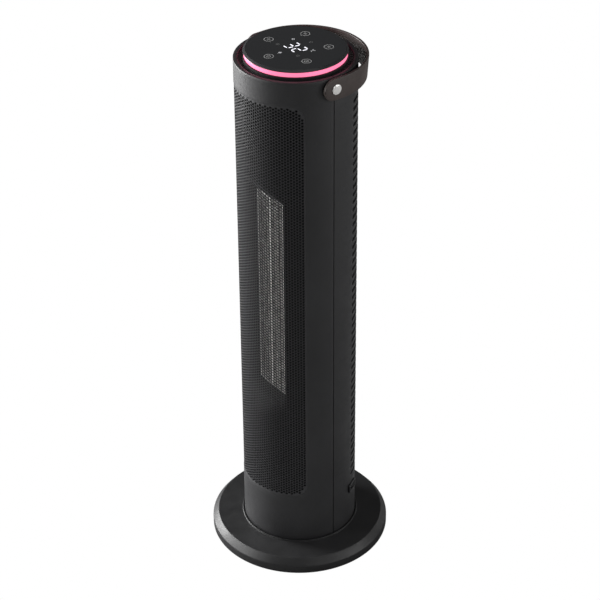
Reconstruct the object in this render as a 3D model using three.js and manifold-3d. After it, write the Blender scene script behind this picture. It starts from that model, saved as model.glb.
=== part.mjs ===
// A ceramic tower heater: a round weighted base, a slim tower that swings on it, a strap handle on top.
// Millimetres, +Z up, origin on the tower's axis at the floor. The front faces -Y.
// Angles round the tower are counted in degrees from the front, growing towards +X.

import * as THREE from "three";
import { mergeVertices } from "three/addons/utils/BufferGeometryUtils.js";
import Module from "manifold-3d";

const wasm = await Module();
wasm.setup();

// ---------------------------------------------------------------- driving dimensions

const GAP = 0.3; // between pieces that touch
const RUN = 0.4; // between pieces that turn past each other

const TOWER_RADIUS = 75;
const TOWER_WALL = 2.5;
const TOWER_TOP = 702;
const RIM_DEPTH = 2.2; // height of the thick rim at the top of both housings
const RIM_WIDTH = 5.5;
const SEAM = 0.3; // between the front and the rear housing

const BASE_RADIUS = 118.4;
const BASE_HEIGHT = 21.5; // flat top of the base
const BASE_EDGE_HEIGHT = 12.3; // where the upright edge turns into the chamfer
const BASE_CHAMFER_WIDTH = 7.6;
const BASE_WALL = 3;
const BASE_RIM_BOTTOM = 4.3; // underside of the base's bottom cover
const BASE_EDGE_BOTTOM = 1.5; // the outer edge comes down round the cover, almost to the floor
const LIP_HEIGHT = 1.8;
const LIP_WIDTH = 1.6;
const LIP_GAP = 1.2; // air between the tower and the lip round it
const WELL_INSET = 6.5; // from the tower's inner wall to the recess in the base that holds the swing gear
const WELL_FLOOR = 11.4;
const WELL_FLOOR_THICKNESS = 2.2;

const FOOT_RADIUS = 8;
const FOOT_HEIGHT = 4;
const FOOT_INSET = 13.4; // from the base's edge to the feet's middles
const FOOT_ANGLE = 19; // of the first foot; the others follow every quarter turn
const COVER_THICKNESS = 2;
const BALLAST_ROOM = 11; // between the well's wall and the ballast, for the cover's screws
const BALLAST_INSET = 10.4; // from the base's edge to the ballast
const BALLAST_HEIGHT = 8;

const PLATE_THICKNESS = 3; // of the tower's bottom plate
const SLIDE_RING_HEIGHT = 1.4;
const SLIDE_RING_WIDTH = 3.6;
const HUB_RADIUS = 12.5;
const HUB_BORE = 7;
const RETAINER_RADIUS = 22;
const RETAINER_THICKNESS = 1.8;

const GEAR_MODULE = 1.5;
const RING_INSET = 21; // from the well's wall in to the ring gear's pitch circle, or nearly so
const PINION_TEETH = 12;
const RING_SECTOR_TEETH = 19;
const RING_ADDENDUM = 0.9; // short, to stay clear of the pinion's roots
const RING_BACK = 5.5; // solid width behind the tooth roots
const RING_THICKNESS = 6.3;
const BACKLASH = 0.3; // of each gear, along the pitch circle
const PRESSURE_ANGLE = 20;
const MOTOR_SHAFT = 2.4; // radius of the pinion's shaft
const SWING_MOTOR_RADIUS = 24;
const SWING_MOTOR_HEIGHT = 17;

const WINDOW_ANGLE = 61.4; // half width of the front window and of the louvres
const WINDOW_BOTTOM = 96;
const WINDOW_HEAD = 31; // plain housing over the window
const WINDOW_CORNER = 18;
const GRILLE_INSET = 0.4;
const GRILLE_THICKNESS = 1.2;

const LOUVRE_PITCH = 10.7;
const LOUVRE_HEIGHT = 6;

const ELEMENT_WIDTH = 26.6;
const ELEMENT_DEPTH = 15;
const ELEMENT_BOTTOM = 241;
const ELEMENT_HEIGHT = 282;
const ELEMENT_SETBACK = 33; // from the tower's front to the elements' front face
const ELEMENT_FRAME_WALL = 4;
const FUNNEL_DEPTH = 14; // of the shelf before the elements
const FUNNEL_FLARE = 1.4; // how much wider the funnel's sides run for each millimetre forward
const FUNNEL_SHELF_DROP = 5;
const FUNNEL_SILL_DROP = 36; // from the elements' foot to where the sloping sill reaches the front
const FUNNEL_HEAD_RISE = 45;
const GUIDE_WALL = 2;
const GUIDE_MARGIN = 6; // how far the air guide runs past the window

const FAN_RADIUS = 29;
const FAN_BLADE_DEPTH = 7.5;
const FAN_BLADE_THICKNESS = 1.3;
const FAN_BLADES = 20;
const FAN_DISC = 3;
const FAN_END_ROOM = 4; // between the fan's ends and the plates
const FAN_Y = 18; // the fan's axis lies behind the tower's
const FAN_BELOW = 15; // how far the fan runs past the elements' foot and head
const FAN_ABOVE = 11;
const FAN_SHAFT = 3;
const FAN_PLATE = 3;
const FAN_PLATE_MARGIN = 3.5; // air between the fan's plates and the housings
const SCROLL_WALL = 2;
const SCROLL_CLEARANCE = 3; // between the blades and the scroll where it starts
const SCROLL_GROWTH = 9; // how much further away it is where it ends

const MOTOR_RADIUS = 29;
const MOTOR_HEIGHT = 36;
const MOTOR_WALL = 1.5;
const ROTOR_RADIUS = 13;
const STATOR_HEIGHT = 24;

const VENT_WIDTH = 5.4;
const VENT_SLOTS = 60;
const VENT_SLOT_WIDTH = 2.4;
const VENT_THICKNESS = 3.5;

const PANEL_GAP = 0.6; // round the panel, to the vent
const PANEL_RISE = 10.5; // over the rim's top
const PANEL_THICKNESS = 3;
const PANEL_BEVEL = 1.2;
const LIGHT_RING_INSET = 0.7; // under the panel's edge
const LIGHT_RING_WIDTH = 3.8;
const LIGHT_RING_HEIGHT = 5.7;
const BOARD_THICKNESS = 1.6;
const TOUCH_KEY_RADIUS = 39.5;
const TOUCH_KEYS = 5;
const DISPLAY_WIDTH = 44;
const DISPLAY_DEPTH = 27;

const STRAP_GAP = 1.2; // between the tower and the strap's sides
const STRAP_THICKNESS = 3.3;
const STRAP_HEIGHT = 28;
const STRAP_REACH = 10.5; // how far behind the tower's axis its round back is centred
const STRAP_END = 3; // how far before the rivets its round ends are centred
const STRAP_DROP = 13.5; // from the rim's top to the rivets
const RIVET_RADIUS = 6.5;
const RIVET_HEAD = 2;
const RIVET_SHANK = 2.6;
const BUSH_RADIUS = 7;
const BUSH_LENGTH = 10;

const SWITCH_ANGLE = 121;
const SWITCH_Z = 78;
const SWITCH_WIDTH = 21;
const SWITCH_HEIGHT = 12;
const SWITCH_DEPTH = 20;
const SWITCH_BEZEL = 1.8;
const KEY_TILT = 7; // of the rocker key at rest, off the middle
const KEY_PIVOT_DEPTH = 3.5; // of the key's axis behind the bezel's face

const GLAND_Z = 44;
const GLAND_RADIUS = 7;
const GLAND_BORE = 3.6;
const GLAND_LENGTH = 16;

// ---------------------------------------------------------------- materials

const charcoal = plastic(0x2d2d2e, 0.62);
const black = plastic(0x18181a, 0.55);
const meshGrey = plastic(0x2a2a2c, 0.5);
const glass = new THREE.MeshStandardMaterial({ color: 0x28292b, roughness: 0.18, metalness: 0 });
const pinkLight = new THREE.MeshStandardMaterial({ color: 0xff82a5, roughness: 0.4, emissive: 0xff5a8c });
const ceramic = metal(0x9a9a98, 0.45);
const steel = metal(0x8b8d90, 0.4);
const polished = metal(0xe8e8ea, 0.12);
const copper = metal(0xb06a3c, 0.4);
const rubber = plastic(0x151515, 0.85);
const nylon = plastic(0xd8d6cc, 0.5);
const boardGreen = plastic(0x1d5a36, 0.5);
const leather = plastic(0x3c3633, 0.6);
const filterGrey = plastic(0x4a4c50, 0.9);

function plastic(color, roughness) {
  return new THREE.MeshStandardMaterial({ color, roughness, metalness: 0 });
}

function metal(color, roughness) {
  return new THREE.MeshStandardMaterial({ color, roughness, metalness: 1 });
}

// ---------------------------------------------------------------- shaping helpers

const FINE = 48; // sides of the large round pieces
const MEDIUM = 24; // sides of the louvred shell and of middling pieces
const SMALL = 12;
const FAR = TOWER_TOP + BASE_RADIUS; // longer than anything that is cut

const degrees = (angle) => (angle * Math.PI) / 180;
const ARC_STEP = 360 / FINE;

// The point at a radius and an angle from the front, in plan.
function around(radius, angle) {
  return new THREE.Vector2(radius * Math.sin(degrees(angle)), -radius * Math.cos(degrees(angle)));
}

// A closed three.js geometry as a solid that can be joined and cut.
function solid(geometry) {
  const bare = geometry.index ? geometry.toNonIndexed() : geometry.clone();
  bare.deleteAttribute("normal");
  bare.deleteAttribute("uv");
  const merged = mergeVertices(bare, 1e-3);
  return new wasm.Manifold(
    new wasm.Mesh({
      numProp: 3,
      vertProperties: merged.attributes.position.array,
      triVerts: new Uint32Array(merged.index.array),
    }),
  );
}

// A solid back as a geometry with one normal per face.
function geometryOf(manifold) {
  const mesh = manifold.getMesh();
  const geometry = new THREE.BufferGeometry();
  geometry.setAttribute("position", new THREE.BufferAttribute(mesh.vertProperties, 3));
  geometry.setIndex(new THREE.BufferAttribute(mesh.triVerts, 1));
  const faceted = geometry.toNonIndexed();
  faceted.computeVertexNormals();
  return faceted;
}

// A profile of [radius, z] points, counter-clockwise, turned about the z axis. A ring's profile is closed.
function turned(profile, sides = FINE) {
  const first = profile[0];
  const onAxis = first[0] === 0;
  const points = (onAxis ? profile : [...profile, first]).map(([r, z]) => new THREE.Vector2(r, z));
  return solid(new THREE.LatheGeometry(points, sides).rotateX(Math.PI / 2));
}

function disc(radius, bottom, top, sides = FINE) {
  return turned([[0, bottom], [radius, bottom], [radius, top], [0, top]], sides);
}

function ring(inner, outer, bottom, top, sides = FINE) {
  return turned([[inner, bottom], [outer, bottom], [outer, top], [inner, top]], sides);
}

function block(x0, x1, y0, y1, z0, z1) {
  const box = new THREE.BoxGeometry(x1 - x0, y1 - y0, z1 - z0);
  return solid(box.translate((x0 + x1) / 2, (y0 + y1) / 2, (z0 + z1) / 2));
}

// A flat outline of plan points lifted from bottom to top.
function upright(points, bottom, top) {
  const shape = new THREE.Shape(points);
  const lifted = new THREE.ExtrudeGeometry(shape, { depth: top - bottom, bevelEnabled: false });
  return solid(lifted.translate(0, 0, bottom));
}

// The plan outline of a wall that follows an arc between two angles.
function arcOutline(inner, outer, start, end, step = ARC_STEP) {
  const count = Math.ceil((end - start) / step);
  const angles = Array.from({ length: count + 1 }, (_, i) => start + ((end - start) * i) / count);
  const outside = angles.map((angle) => around(outer, angle));
  const inside = angles.map((angle) => around(inner, angle)).reverse();
  return [...outside, ...inside];
}

// A rod along the radius at an angle from the front, between two distances from the axis.
function radialRod(radius, angle, z, near, far, sides = SMALL) {
  const rod = new THREE.CylinderGeometry(radius, radius, far - near, sides);
  rod.translate(0, -(near + far) / 2, 0); // along -y, the front
  rod.rotateZ(degrees(angle));
  return solid(rod.translate(0, 0, z));
}

// A box on the radius at an angle from the front: across by upright, between two distances from the axis.
function radialBlock(width, height, angle, z, near, far) {
  const box = new THREE.BoxGeometry(width, far - near, height);
  box.translate(0, -(near + far) / 2, 0);
  box.rotateZ(degrees(angle));
  return solid(box.translate(0, 0, z));
}

const heater = new THREE.Group();
const groups = {};
for (const name of ["base", "tower", "impeller", "pinion", "handle", "rocker"]) {
  groups[name] = new THREE.Group();
  groups[name].name = name + "_group";
  heater.add(groups[name]);
}

function place(group, name, manifold, material) {
  const mesh = new THREE.Mesh(geometryOf(manifold), material);
  mesh.name = name;
  groups[group].add(mesh);
}

// ---------------------------------------------------------------- base

const innerTower = TOWER_RADIUS - TOWER_WALL;
const wellRadius = innerTower - WELL_INSET;
const insideTower = innerTower * Math.cos(Math.PI / MEDIUM) - GAP; // clear of the shells' flat facets
const lipInner = TOWER_RADIUS + LIP_GAP;
const lipOuter = lipInner + LIP_WIDTH;
const baseInner = BASE_RADIUS - BASE_WALL;
const baseFlat = BASE_RADIUS - BASE_CHAMFER_WIDTH;
const wellUnder = WELL_FLOOR - WELL_FLOOR_THICKNESS;
const hubHole = HUB_RADIUS + RUN;

function baseShell() {
  const profile = [
    [hubHole, wellUnder],
    [wellRadius + BASE_WALL, wellUnder],
    [wellRadius + BASE_WALL, BASE_HEIGHT - BASE_WALL],
    [baseFlat - BASE_WALL / 2, BASE_HEIGHT - BASE_WALL],
    [baseInner, BASE_EDGE_HEIGHT - BASE_WALL / 2],
    [baseInner, BASE_EDGE_BOTTOM],
    [BASE_RADIUS - 1, BASE_EDGE_BOTTOM],
    [BASE_RADIUS, BASE_EDGE_BOTTOM + 1],
    [BASE_RADIUS, BASE_EDGE_HEIGHT],
    [baseFlat, BASE_HEIGHT],
    [lipOuter, BASE_HEIGHT],
    [lipOuter, BASE_HEIGHT + LIP_HEIGHT],
    [lipInner, BASE_HEIGHT + LIP_HEIGHT],
    [lipInner, BASE_HEIGHT],
    [wellRadius, BASE_HEIGHT],
    [wellRadius, WELL_FLOOR],
    [hubHole, WELL_FLOOR],
  ];
  return turned(profile, FINE);
}

const coverTop = BASE_RIM_BOTTOM + COVER_THICKNESS;
const coverRadius = baseInner - GAP;
const feetAngles = [0, 1, 2, 3].map((i) => FOOT_ANGLE + 90 * i);
const SCREW_HEAD = 3.5;
const SCREW_HEAD_HEIGHT = 1.8;
const SCREW_SHANK = 1.6;
const ballastInner = wellRadius + BASE_WALL + BALLAST_ROOM;
const screwPitchRadius = ballastInner - SCREW_HEAD - 2 * GAP;
const retainerHole = RETAINER_RADIUS + 2;

place("base", "base_shell", baseShell(), charcoal);

// The steel ring lies on the cover's rim, inside the shell.
const ballastBottom = coverTop + GAP;
const ballastOuter = BASE_RADIUS - BALLAST_INSET;
const ballast = ring(ballastInner, ballastOuter, ballastBottom, ballastBottom + BALLAST_HEIGHT, MEDIUM);
place("base", "base_weight", ballast, steel);

function baseCover() {
  let cover = ring(retainerHole, coverRadius, BASE_RIM_BOTTOM, coverTop);
  for (const angle of feetAngles) {
    const spot = around(screwPitchRadius, angle + 45);
    const hole = disc(SCREW_SHANK + GAP, 0, BASE_HEIGHT, SMALL).translate([spot.x, spot.y, 0]);
    cover = cover.subtract(hole);
  }
  return cover;
}
place("base", "base_cover", baseCover(), black);

feetAngles.forEach((angle, i) => {
  const spot = around(BASE_RADIUS - FOOT_INSET, angle);
  const profile = [
    [0, 0],
    [FOOT_RADIUS - 1, 0],
    [FOOT_RADIUS, 1],
    [FOOT_RADIUS, FOOT_HEIGHT],
    [0, FOOT_HEIGHT],
  ];
  const foot = turned(profile, 24).translate([spot.x, spot.y, 0]);
  place("base", "rubber_foot_" + (i + 1), foot, rubber);
});

// Each cover screw's head is under the cover, and its shank goes up through it.
feetAngles.forEach((angle, i) => {
  const spot = around(screwPitchRadius, angle + 45);
  const headTop = BASE_RIM_BOTTOM - GAP;
  const screw = disc(SCREW_HEAD, headTop - SCREW_HEAD_HEIGHT, headTop, SMALL)
    .add(disc(SCREW_SHANK, headTop - 1, BASE_HEIGHT - BASE_WALL - GAP, SMALL))
    .translate([spot.x, spot.y, 0]);
  place("base", "base_screw_" + (i + 1), screw, steel);
});

const slideTop = BASE_HEIGHT + GAP + SLIDE_RING_HEIGHT;
const slideInner = wellRadius + 1.5;
const slide = ring(slideInner, slideInner + SLIDE_RING_WIDTH, BASE_HEIGHT + GAP, slideTop, MEDIUM);
place("base", "slide_ring", slide, nylon);

// ---------------------------------------------------------------- swing gear

const ringTeeth = 2 * Math.round((wellRadius - RING_INSET) / GEAR_MODULE); // of the full circle, even
const pitchRing = (GEAR_MODULE * ringTeeth) / 2;
const pitchPinion = (GEAR_MODULE * PINION_TEETH) / 2;
const pinionY = pitchRing - pitchPinion;
const DEDENDUM = 1.25; // in modules
const INVOLUTE_STEPS = 4;

// The outline of a gear with involute flanks. A thickening below zero thins the teeth, along the pitch
// circle. The tooth at index 0 points along +Y, and the outline goes round anticlockwise.
function gearOutline(teeth, root, tip, thickening, first, last) {
  const pitch = (GEAR_MODULE * teeth) / 2;
  const base = pitch * Math.cos(degrees(PRESSURE_ANGLE));
  const involute = (r) => {
    const pressure = Math.acos(Math.min(1, base / r));
    return Math.tan(pressure) - pressure;
  };
  const halfAtPitch = Math.PI / (2 * teeth) + thickening / (2 * pitch);
  const halfAt = (r) => halfAtPitch + involute(pitch) - involute(Math.max(r, base));
  const start = Math.max(root, base);
  const radii = [root];
  for (let i = 0; i <= INVOLUTE_STEPS; i++) radii.push(start + ((tip - start) * i) / INVOLUTE_STEPS);
  const points = [];
  for (let tooth = first; tooth <= last; tooth++) {
    const middle = Math.PI / 2 + (2 * Math.PI * tooth) / teeth;
    const flank = (r, side) => {
      const angle = middle + side * halfAt(r);
      return new THREE.Vector2(r * Math.cos(angle), r * Math.sin(angle));
    };
    points.push(...radii.map((r) => flank(r, -1)));
    points.push(...[...radii].reverse().map((r) => flank(r, 1)));
  }
  return points;
}

const ringBottom = WELL_FLOOR + GAP;
const ringTop = ringBottom + RING_THICKNESS;
const ringRoot = pitchRing + DEDENDUM * GEAR_MODULE;
const ringOuter = ringRoot + RING_BACK;
const ringTip = pitchRing - RING_ADDENDUM;

// The spaces of an inner gear have the shape of the teeth of an outer gear of the same size.
function swingSector() {
  const half = (180 * RING_SECTOR_TEETH) / ringTeeth;
  const blank = upright(arcOutline(ringTip, ringOuter, 180 - half, 180 + half), ringBottom, ringTop);
  const edge = (RING_SECTOR_TEETH + 1) / 2;
  const spaces = gearOutline(ringTeeth, ringTip - 2, ringRoot, BACKLASH, -edge, edge);
  spaces.push(new THREE.Vector2(0, 0));
  let sector = blank.subtract(upright(spaces, ringBottom - 1, ringTop + 1));
  for (const side of [-1, 1]) sector = sector.subtract(gearScrewHole(side));
  return sector;
}

const gearScrewRadius = ringOuter - RING_BACK / 2;
const gearScrewAngle = 36;
function gearScrewHole(side) {
  const spot = around(gearScrewRadius, 180 + side * gearScrewAngle);
  return disc(SCREW_SHANK + GAP, 0, ringTop + 1, SMALL).translate([spot.x, spot.y, 0]);
}
place("base", "swing_sector", swingSector(), nylon);

[-1, 1].forEach((side, i) => {
  const spot = around(gearScrewRadius, 180 + side * gearScrewAngle);
  const screw = disc(SCREW_HEAD - 1, ringTop + GAP, ringTop + GAP + 1.2, SMALL)
    .add(disc(SCREW_SHANK, ringBottom, ringTop + GAP + 0.5, SMALL))
    .translate([spot.x, spot.y, 0]);
  place("base", "sector_screw_" + (i + 1), screw, steel);
});

// An even number of ring teeth puts a space of the sector over the pinion, where its own tooth points.
const plateBottom = slideTop + GAP;
const plateTop = plateBottom + PLATE_THICKNESS;
const SHAFT_ENGAGEMENT = 8; // of the pinion's shaft in the swing motor
function swingPinion() {
  const root = pitchPinion - DEDENDUM * GEAR_MODULE;
  const tip = pitchPinion + GEAR_MODULE;
  const outline = gearOutline(PINION_TEETH, root, tip, -BACKLASH, 0, PINION_TEETH - 1);
  const teeth = upright(outline, ringBottom + GAP, ringTop - GAP);
  const shaft = disc(MOTOR_SHAFT, ringTop - 2, plateTop + SHAFT_ENGAGEMENT, SMALL);
  return teeth.add(shaft).translate([0, pinionY, 0]);
}
place("pinion", "swing_pinion", swingPinion(), nylon);

const motorNose = MOTOR_SHAFT + 3.5;
function swingMotor() {
  const bottom = plateTop + GAP;
  const can = disc(SWING_MOTOR_RADIUS, bottom, bottom + SWING_MOTOR_HEIGHT, MEDIUM);
  const nose = disc(motorNose, plateBottom, bottom + 1, SMALL);
  const bore = disc(MOTOR_SHAFT + RUN, plateBottom - 1, plateTop + SHAFT_ENGAGEMENT + 1, SMALL);
  return can.add(nose).subtract(bore).translate([0, pinionY, 0]);
}
place("tower", "swing_motor", swingMotor(), steel);

// ---------------------------------------------------------------- bottom plate and its retaining ring

const retainerTop = wellUnder - RUN;
const hubBottom = retainerTop + GAP;

function bottomPlate() {
  const plate = disc(insideTower, plateBottom, plateTop);
  const hub = disc(HUB_RADIUS, hubBottom, plateBottom + 1, MEDIUM);
  const bore = disc(HUB_BORE, 0, plateTop + 1, MEDIUM);
  const noseHole = disc(motorNose + GAP, plateBottom - 1, plateTop + 1, SMALL);
  return plate.add(hub).subtract(bore).subtract(noseHole.translate([0, pinionY, 0]));
}
place("tower", "bottom_plate", bottomPlate(), black);

const retainer = ring(HUB_BORE, RETAINER_RADIUS, retainerTop - RETAINER_THICKNESS, retainerTop, MEDIUM);
place("tower", "swivel_retainer", retainer, steel);

// ---------------------------------------------------------------- housings

const shellBottom = BASE_HEIGHT + 0.8;
const bushHole = BUSH_RADIUS + GAP;
const rivetZ = TOWER_TOP - STRAP_DROP;

// A half shell with its thick rim, on the front (turn 0) or the back (turn 180).
function halfShell(turn) {
  const profile = [
    [innerTower, shellBottom],
    [TOWER_RADIUS, shellBottom],
    [TOWER_RADIUS, TOWER_TOP - 1],
    [TOWER_RADIUS - 1, TOWER_TOP],
    [TOWER_RADIUS - RIM_WIDTH, TOWER_TOP],
    [TOWER_RADIUS - RIM_WIDTH, TOWER_TOP - RIM_DEPTH],
    [innerTower, TOWER_TOP - RIM_DEPTH],
  ];
  const away = turn === 0 ? -1 : 1;
  const near = (away * SEAM) / 2;
  const half = away < 0 ? block(-FAR, FAR, -FAR, near, 0, FAR * 2) : block(-FAR, FAR, near, FAR, 0, FAR * 2);
  let shell = turned(profile, turn === 0 ? FINE : MEDIUM).intersect(half);
  for (const angle of [-90, 90]) {
    shell = shell.subtract(radialRod(bushHole, angle, rivetZ, innerTower - 8, TOWER_RADIUS + 8));
  }
  return shell;
}

// A rounded window of the given half angle, cut radially through a wall: an upright middle, and on either
// side a few narrower strips that step round the corners.
function windowCutter(halfAngle, bottom, top, corner, near) {
  const strips = 4;
  const toAngle = 180 / (Math.PI * TOWER_RADIUS);
  const straight = halfAngle - corner * toAngle;
  let cutter = sectorBlock(near, -straight, straight, bottom, top);
  for (let i = 0; i < strips; i++) {
    const reach = (share) => straight + corner * Math.sin(degrees(90 * share)) * toAngle;
    const rise = corner * (1 - Math.cos(degrees((90 * (i + 0.5)) / strips)));
    const from = reach(i / strips) - 0.01;
    const to = reach((i + 1) / strips);
    cutter = cutter.add(sectorBlock(near, from, to, bottom + rise, top - rise));
    cutter = cutter.add(sectorBlock(near, -to, -from, bottom + rise, top - rise));
  }
  return cutter;
}

// A block between two angles from a radius outwards.
function sectorBlock(near, start, end, bottom, top) {
  return upright(arcOutline(near, TOWER_RADIUS + 20, start, end), bottom, top);
}

const windowTop = TOWER_TOP - WINDOW_HEAD;
const louvres = Math.floor((windowTop - WINDOW_BOTTOM) / LOUVRE_PITCH);

function frontHousing() {
  const cutter = windowCutter(WINDOW_ANGLE, WINDOW_BOTTOM, windowTop, WINDOW_CORNER, innerTower - 5);
  return halfShell(0).subtract(cutter);
}
place("tower", "front_housing", frontHousing(), charcoal);

// The louvres are level slots, as wide as the front window.
function rearHousing() {
  let shell = halfShell(180);
  const left = 180 - WINDOW_ANGLE;
  const right = 180 + WINDOW_ANGLE;
  const slotPlan = arcOutline(innerTower - 5, TOWER_RADIUS + 20, left, right, WINDOW_ANGLE / 4);
  for (let i = 0; i < louvres; i++) {
    const bottom = WINDOW_BOTTOM + LOUVRE_PITCH * i;
    shell = shell.subtract(upright(slotPlan, bottom, bottom + LOUVRE_HEIGHT));
  }
  const near = innerTower - 8;
  const far = TOWER_RADIUS + 8;
  const wide = switchBodyWidth + 2 * GAP;
  const tall = switchBodyHeight + 2 * GAP;
  shell = shell.subtract(radialBlock(wide, tall, SWITCH_ANGLE, SWITCH_Z, near, far));
  return shell.subtract(radialRod(GLAND_RADIUS + GAP, 180, GLAND_Z, near, far));
}

const switchBodyWidth = SWITCH_WIDTH - 3;
const switchBodyHeight = SWITCH_HEIGHT - 2;
place("tower", "rear_housing", rearHousing(), charcoal);

// ---------------------------------------------------------------- front grille, air guide, dust filter

const grilleOuter = TOWER_RADIUS - GRILLE_INSET;
const grilleInner = grilleOuter - GRILLE_THICKNESS;
const GRILLE_EDGE = 0.4; // air round the grille in the window

function frontGrille() {
  const angle = WINDOW_ANGLE - (GRILLE_EDGE * 180) / (Math.PI * TOWER_RADIUS);
  const corner = WINDOW_CORNER - GRILLE_EDGE;
  const bottom = WINDOW_BOTTOM + GRILLE_EDGE;
  const top = windowTop - GRILLE_EDGE;
  const sheet = ring(grilleInner, grilleOuter, bottom, top);
  return sheet.intersect(windowCutter(angle, bottom, top, corner, grilleInner - 5));
}
place("tower", "front_grille", frontGrille(), meshGrey);

const guideOuter = innerTower * Math.cos(Math.PI / FINE) - GAP; // clear of the housing's flat facets
const guideInner = guideOuter - GUIDE_WALL;
const guideBottom = WINDOW_BOTTOM - GUIDE_MARGIN;
const guideTop = windowTop + GUIDE_MARGIN;
const elementHalf = ELEMENT_WIDTH + GAP;
const elementTop = ELEMENT_BOTTOM + ELEMENT_HEIGHT;
const elementFace = ELEMENT_SETBACK - TOWER_RADIUS;
const funnelFront = elementFace - FUNNEL_DEPTH;

// The funnel's plan: from the elements' sides out to the air guide, and on past it.
function funnelPlan(wall) {
  const front = -TOWER_RADIUS - 1;
  const wide = elementHalf + FUNNEL_FLARE * (elementFace - front);
  return [
    new THREE.Vector2(-elementHalf - wall, elementFace + GAP),
    new THREE.Vector2(-elementHalf - wall, elementFace),
    new THREE.Vector2(-wide - wall, front),
    new THREE.Vector2(wide + wall, front),
    new THREE.Vector2(elementHalf + wall, elementFace),
    new THREE.Vector2(elementHalf + wall, elementFace + GAP),
  ].reverse();
}

// The funnel's side view, as points of y and z: a short shelf and then a steep sill at its foot.
function funnelSide(wall) {
  const outline = [
    [elementFace + 2 * GAP, ELEMENT_BOTTOM - wall],
    [funnelFront, ELEMENT_BOTTOM - FUNNEL_SHELF_DROP - wall],
    [-TOWER_RADIUS - 1, ELEMENT_BOTTOM - FUNNEL_SILL_DROP - wall],
    [-TOWER_RADIUS - 1, elementTop + FUNNEL_HEAD_RISE + wall],
    [elementFace + 2 * GAP, elementTop + wall],
  ];
  const shape = new THREE.Shape(outline.map(([y, z]) => new THREE.Vector2(y, z)));
  const lifted = new THREE.ExtrudeGeometry(shape, { depth: 2 * TOWER_RADIUS, bevelEnabled: false });
  const turn = new THREE.Matrix4().makeBasis(
    new THREE.Vector3(0, 1, 0),
    new THREE.Vector3(0, 0, 1),
    new THREE.Vector3(1, 0, 0),
  );
  return solid(lifted.applyMatrix4(turn).translate(-TOWER_RADIUS, 0, 0));
}

function airGuide() {
  const reach = WINDOW_ANGLE + 3;
  const sheet = upright(arcOutline(guideInner, guideOuter, -reach, reach), guideBottom, guideTop);
  const outer = upright(funnelPlan(GUIDE_WALL), guideBottom, guideTop).intersect(funnelSide(GUIDE_WALL));
  const inner = upright(funnelPlan(0), guideBottom - 1, guideTop + 1).intersect(funnelSide(0));
  const inside = disc(guideOuter, guideBottom, guideTop);
  const behind = block(-FAR, FAR, elementFace + GAP, FAR, 0, FAR * 2);
  return outer.intersect(inside).subtract(behind).add(sheet).subtract(inner);
}
place("tower", "air_guide", airGuide(), black);

const FILTER_THICKNESS = 1;
const filterLeft = 180 - WINDOW_ANGLE + 8; // clear of the switch
const filterRight = 180 + WINDOW_ANGLE + 2;
const filterBottom = WINDOW_BOTTOM + 2;
const filterTop = WINDOW_BOTTOM + LOUVRE_PITCH * louvres;
const filterPlan = arcOutline(insideTower - FILTER_THICKNESS, insideTower, filterLeft, filterRight, 10);
place("tower", "dust_filter", upright(filterPlan, filterBottom, filterTop), filterGrey);

// ---------------------------------------------------------------- heating elements

const frameFront = elementFace + 2 * GAP;
const frameBack = frameFront + ELEMENT_DEPTH + 2;
const frameBottom = ELEMENT_BOTTOM - ELEMENT_FRAME_WALL;
const frameTop = elementTop + ELEMENT_FRAME_WALL;

function elementFrame() {
  const wide = elementHalf + ELEMENT_FRAME_WALL;
  const body = block(-wide, wide, frameFront, frameBack, frameBottom, frameTop);
  const inner = elementHalf + GAP;
  return body.subtract(block(-inner, inner, -FAR, FAR, ELEMENT_BOTTOM - GAP, elementTop + GAP));
}
place("tower", "element_frame", elementFrame(), black);

for (const [side, name] of [[-1, "ceramic_element_left"], [1, "ceramic_element_right"]]) {
  const near = GAP / 2;
  const far = near + ELEMENT_WIDTH;
  const x0 = side < 0 ? -far : near;
  const x1 = side < 0 ? -near : far;
  const y1 = frameFront + ELEMENT_DEPTH;
  place("tower", name, block(x0, x1, frameFront, y1, ELEMENT_BOTTOM, elementTop), ceramic);
}

const cutout = disc(6, frameTop + GAP, frameTop + GAP + 5, SMALL);
place("tower", "thermal_cutout", cutout.translate([0, (frameFront + frameBack) / 2, 0]), steel);

// ---------------------------------------------------------------- fan

const fanBottom = ELEMENT_BOTTOM - FAN_BELOW;
const fanTop = elementTop + FAN_ABOVE;
const lowerPlateTop = fanBottom - FAN_END_ROOM;
const upperPlateBottom = fanTop + FAN_END_ROOM;
const shaftHole = FAN_SHAFT + RUN;

function impeller() {
  let wheel = null;
  const height = fanTop - fanBottom;
  for (const share of [0, 1 / 2, 1]) {
    const bottom = fanBottom + share * (height - FAN_DISC);
    const plate = ring(shaftHole - GAP / 2, FAN_RADIUS, bottom, bottom + FAN_DISC, MEDIUM);
    wheel = wheel ? wheel.add(plate) : plate;
  }
  for (let i = 0; i < FAN_BLADES; i++) {
    const box = new THREE.BoxGeometry(FAN_BLADE_THICKNESS, FAN_BLADE_DEPTH, height - 1);
    box.rotateZ(degrees(28)); // the blades lean into the turn
    box.translate(0, FAN_RADIUS - FAN_BLADE_DEPTH / 2 - 0.6, (fanBottom + fanTop) / 2);
    box.rotateZ((2 * Math.PI * i) / FAN_BLADES);
    wheel = wheel.add(solid(box));
  }
  return wheel.translate([0, FAN_Y, 0]);
}
place("impeller", "impeller", impeller(), black);

const motorTop = lowerPlateTop - FAN_PLATE - GAP;
const motorBottom = motorTop - MOTOR_HEIGHT;
const bearingHeight = 4;
const shaftBottom = motorBottom + 2 * MOTOR_WALL;
const shaftTop = upperPlateBottom + FAN_PLATE + bearingHeight;
const shaft = disc(FAN_SHAFT, shaftBottom, shaftTop, SMALL).translate([0, FAN_Y, 0]);
place("impeller", "fan_shaft", shaft, steel);

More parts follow.
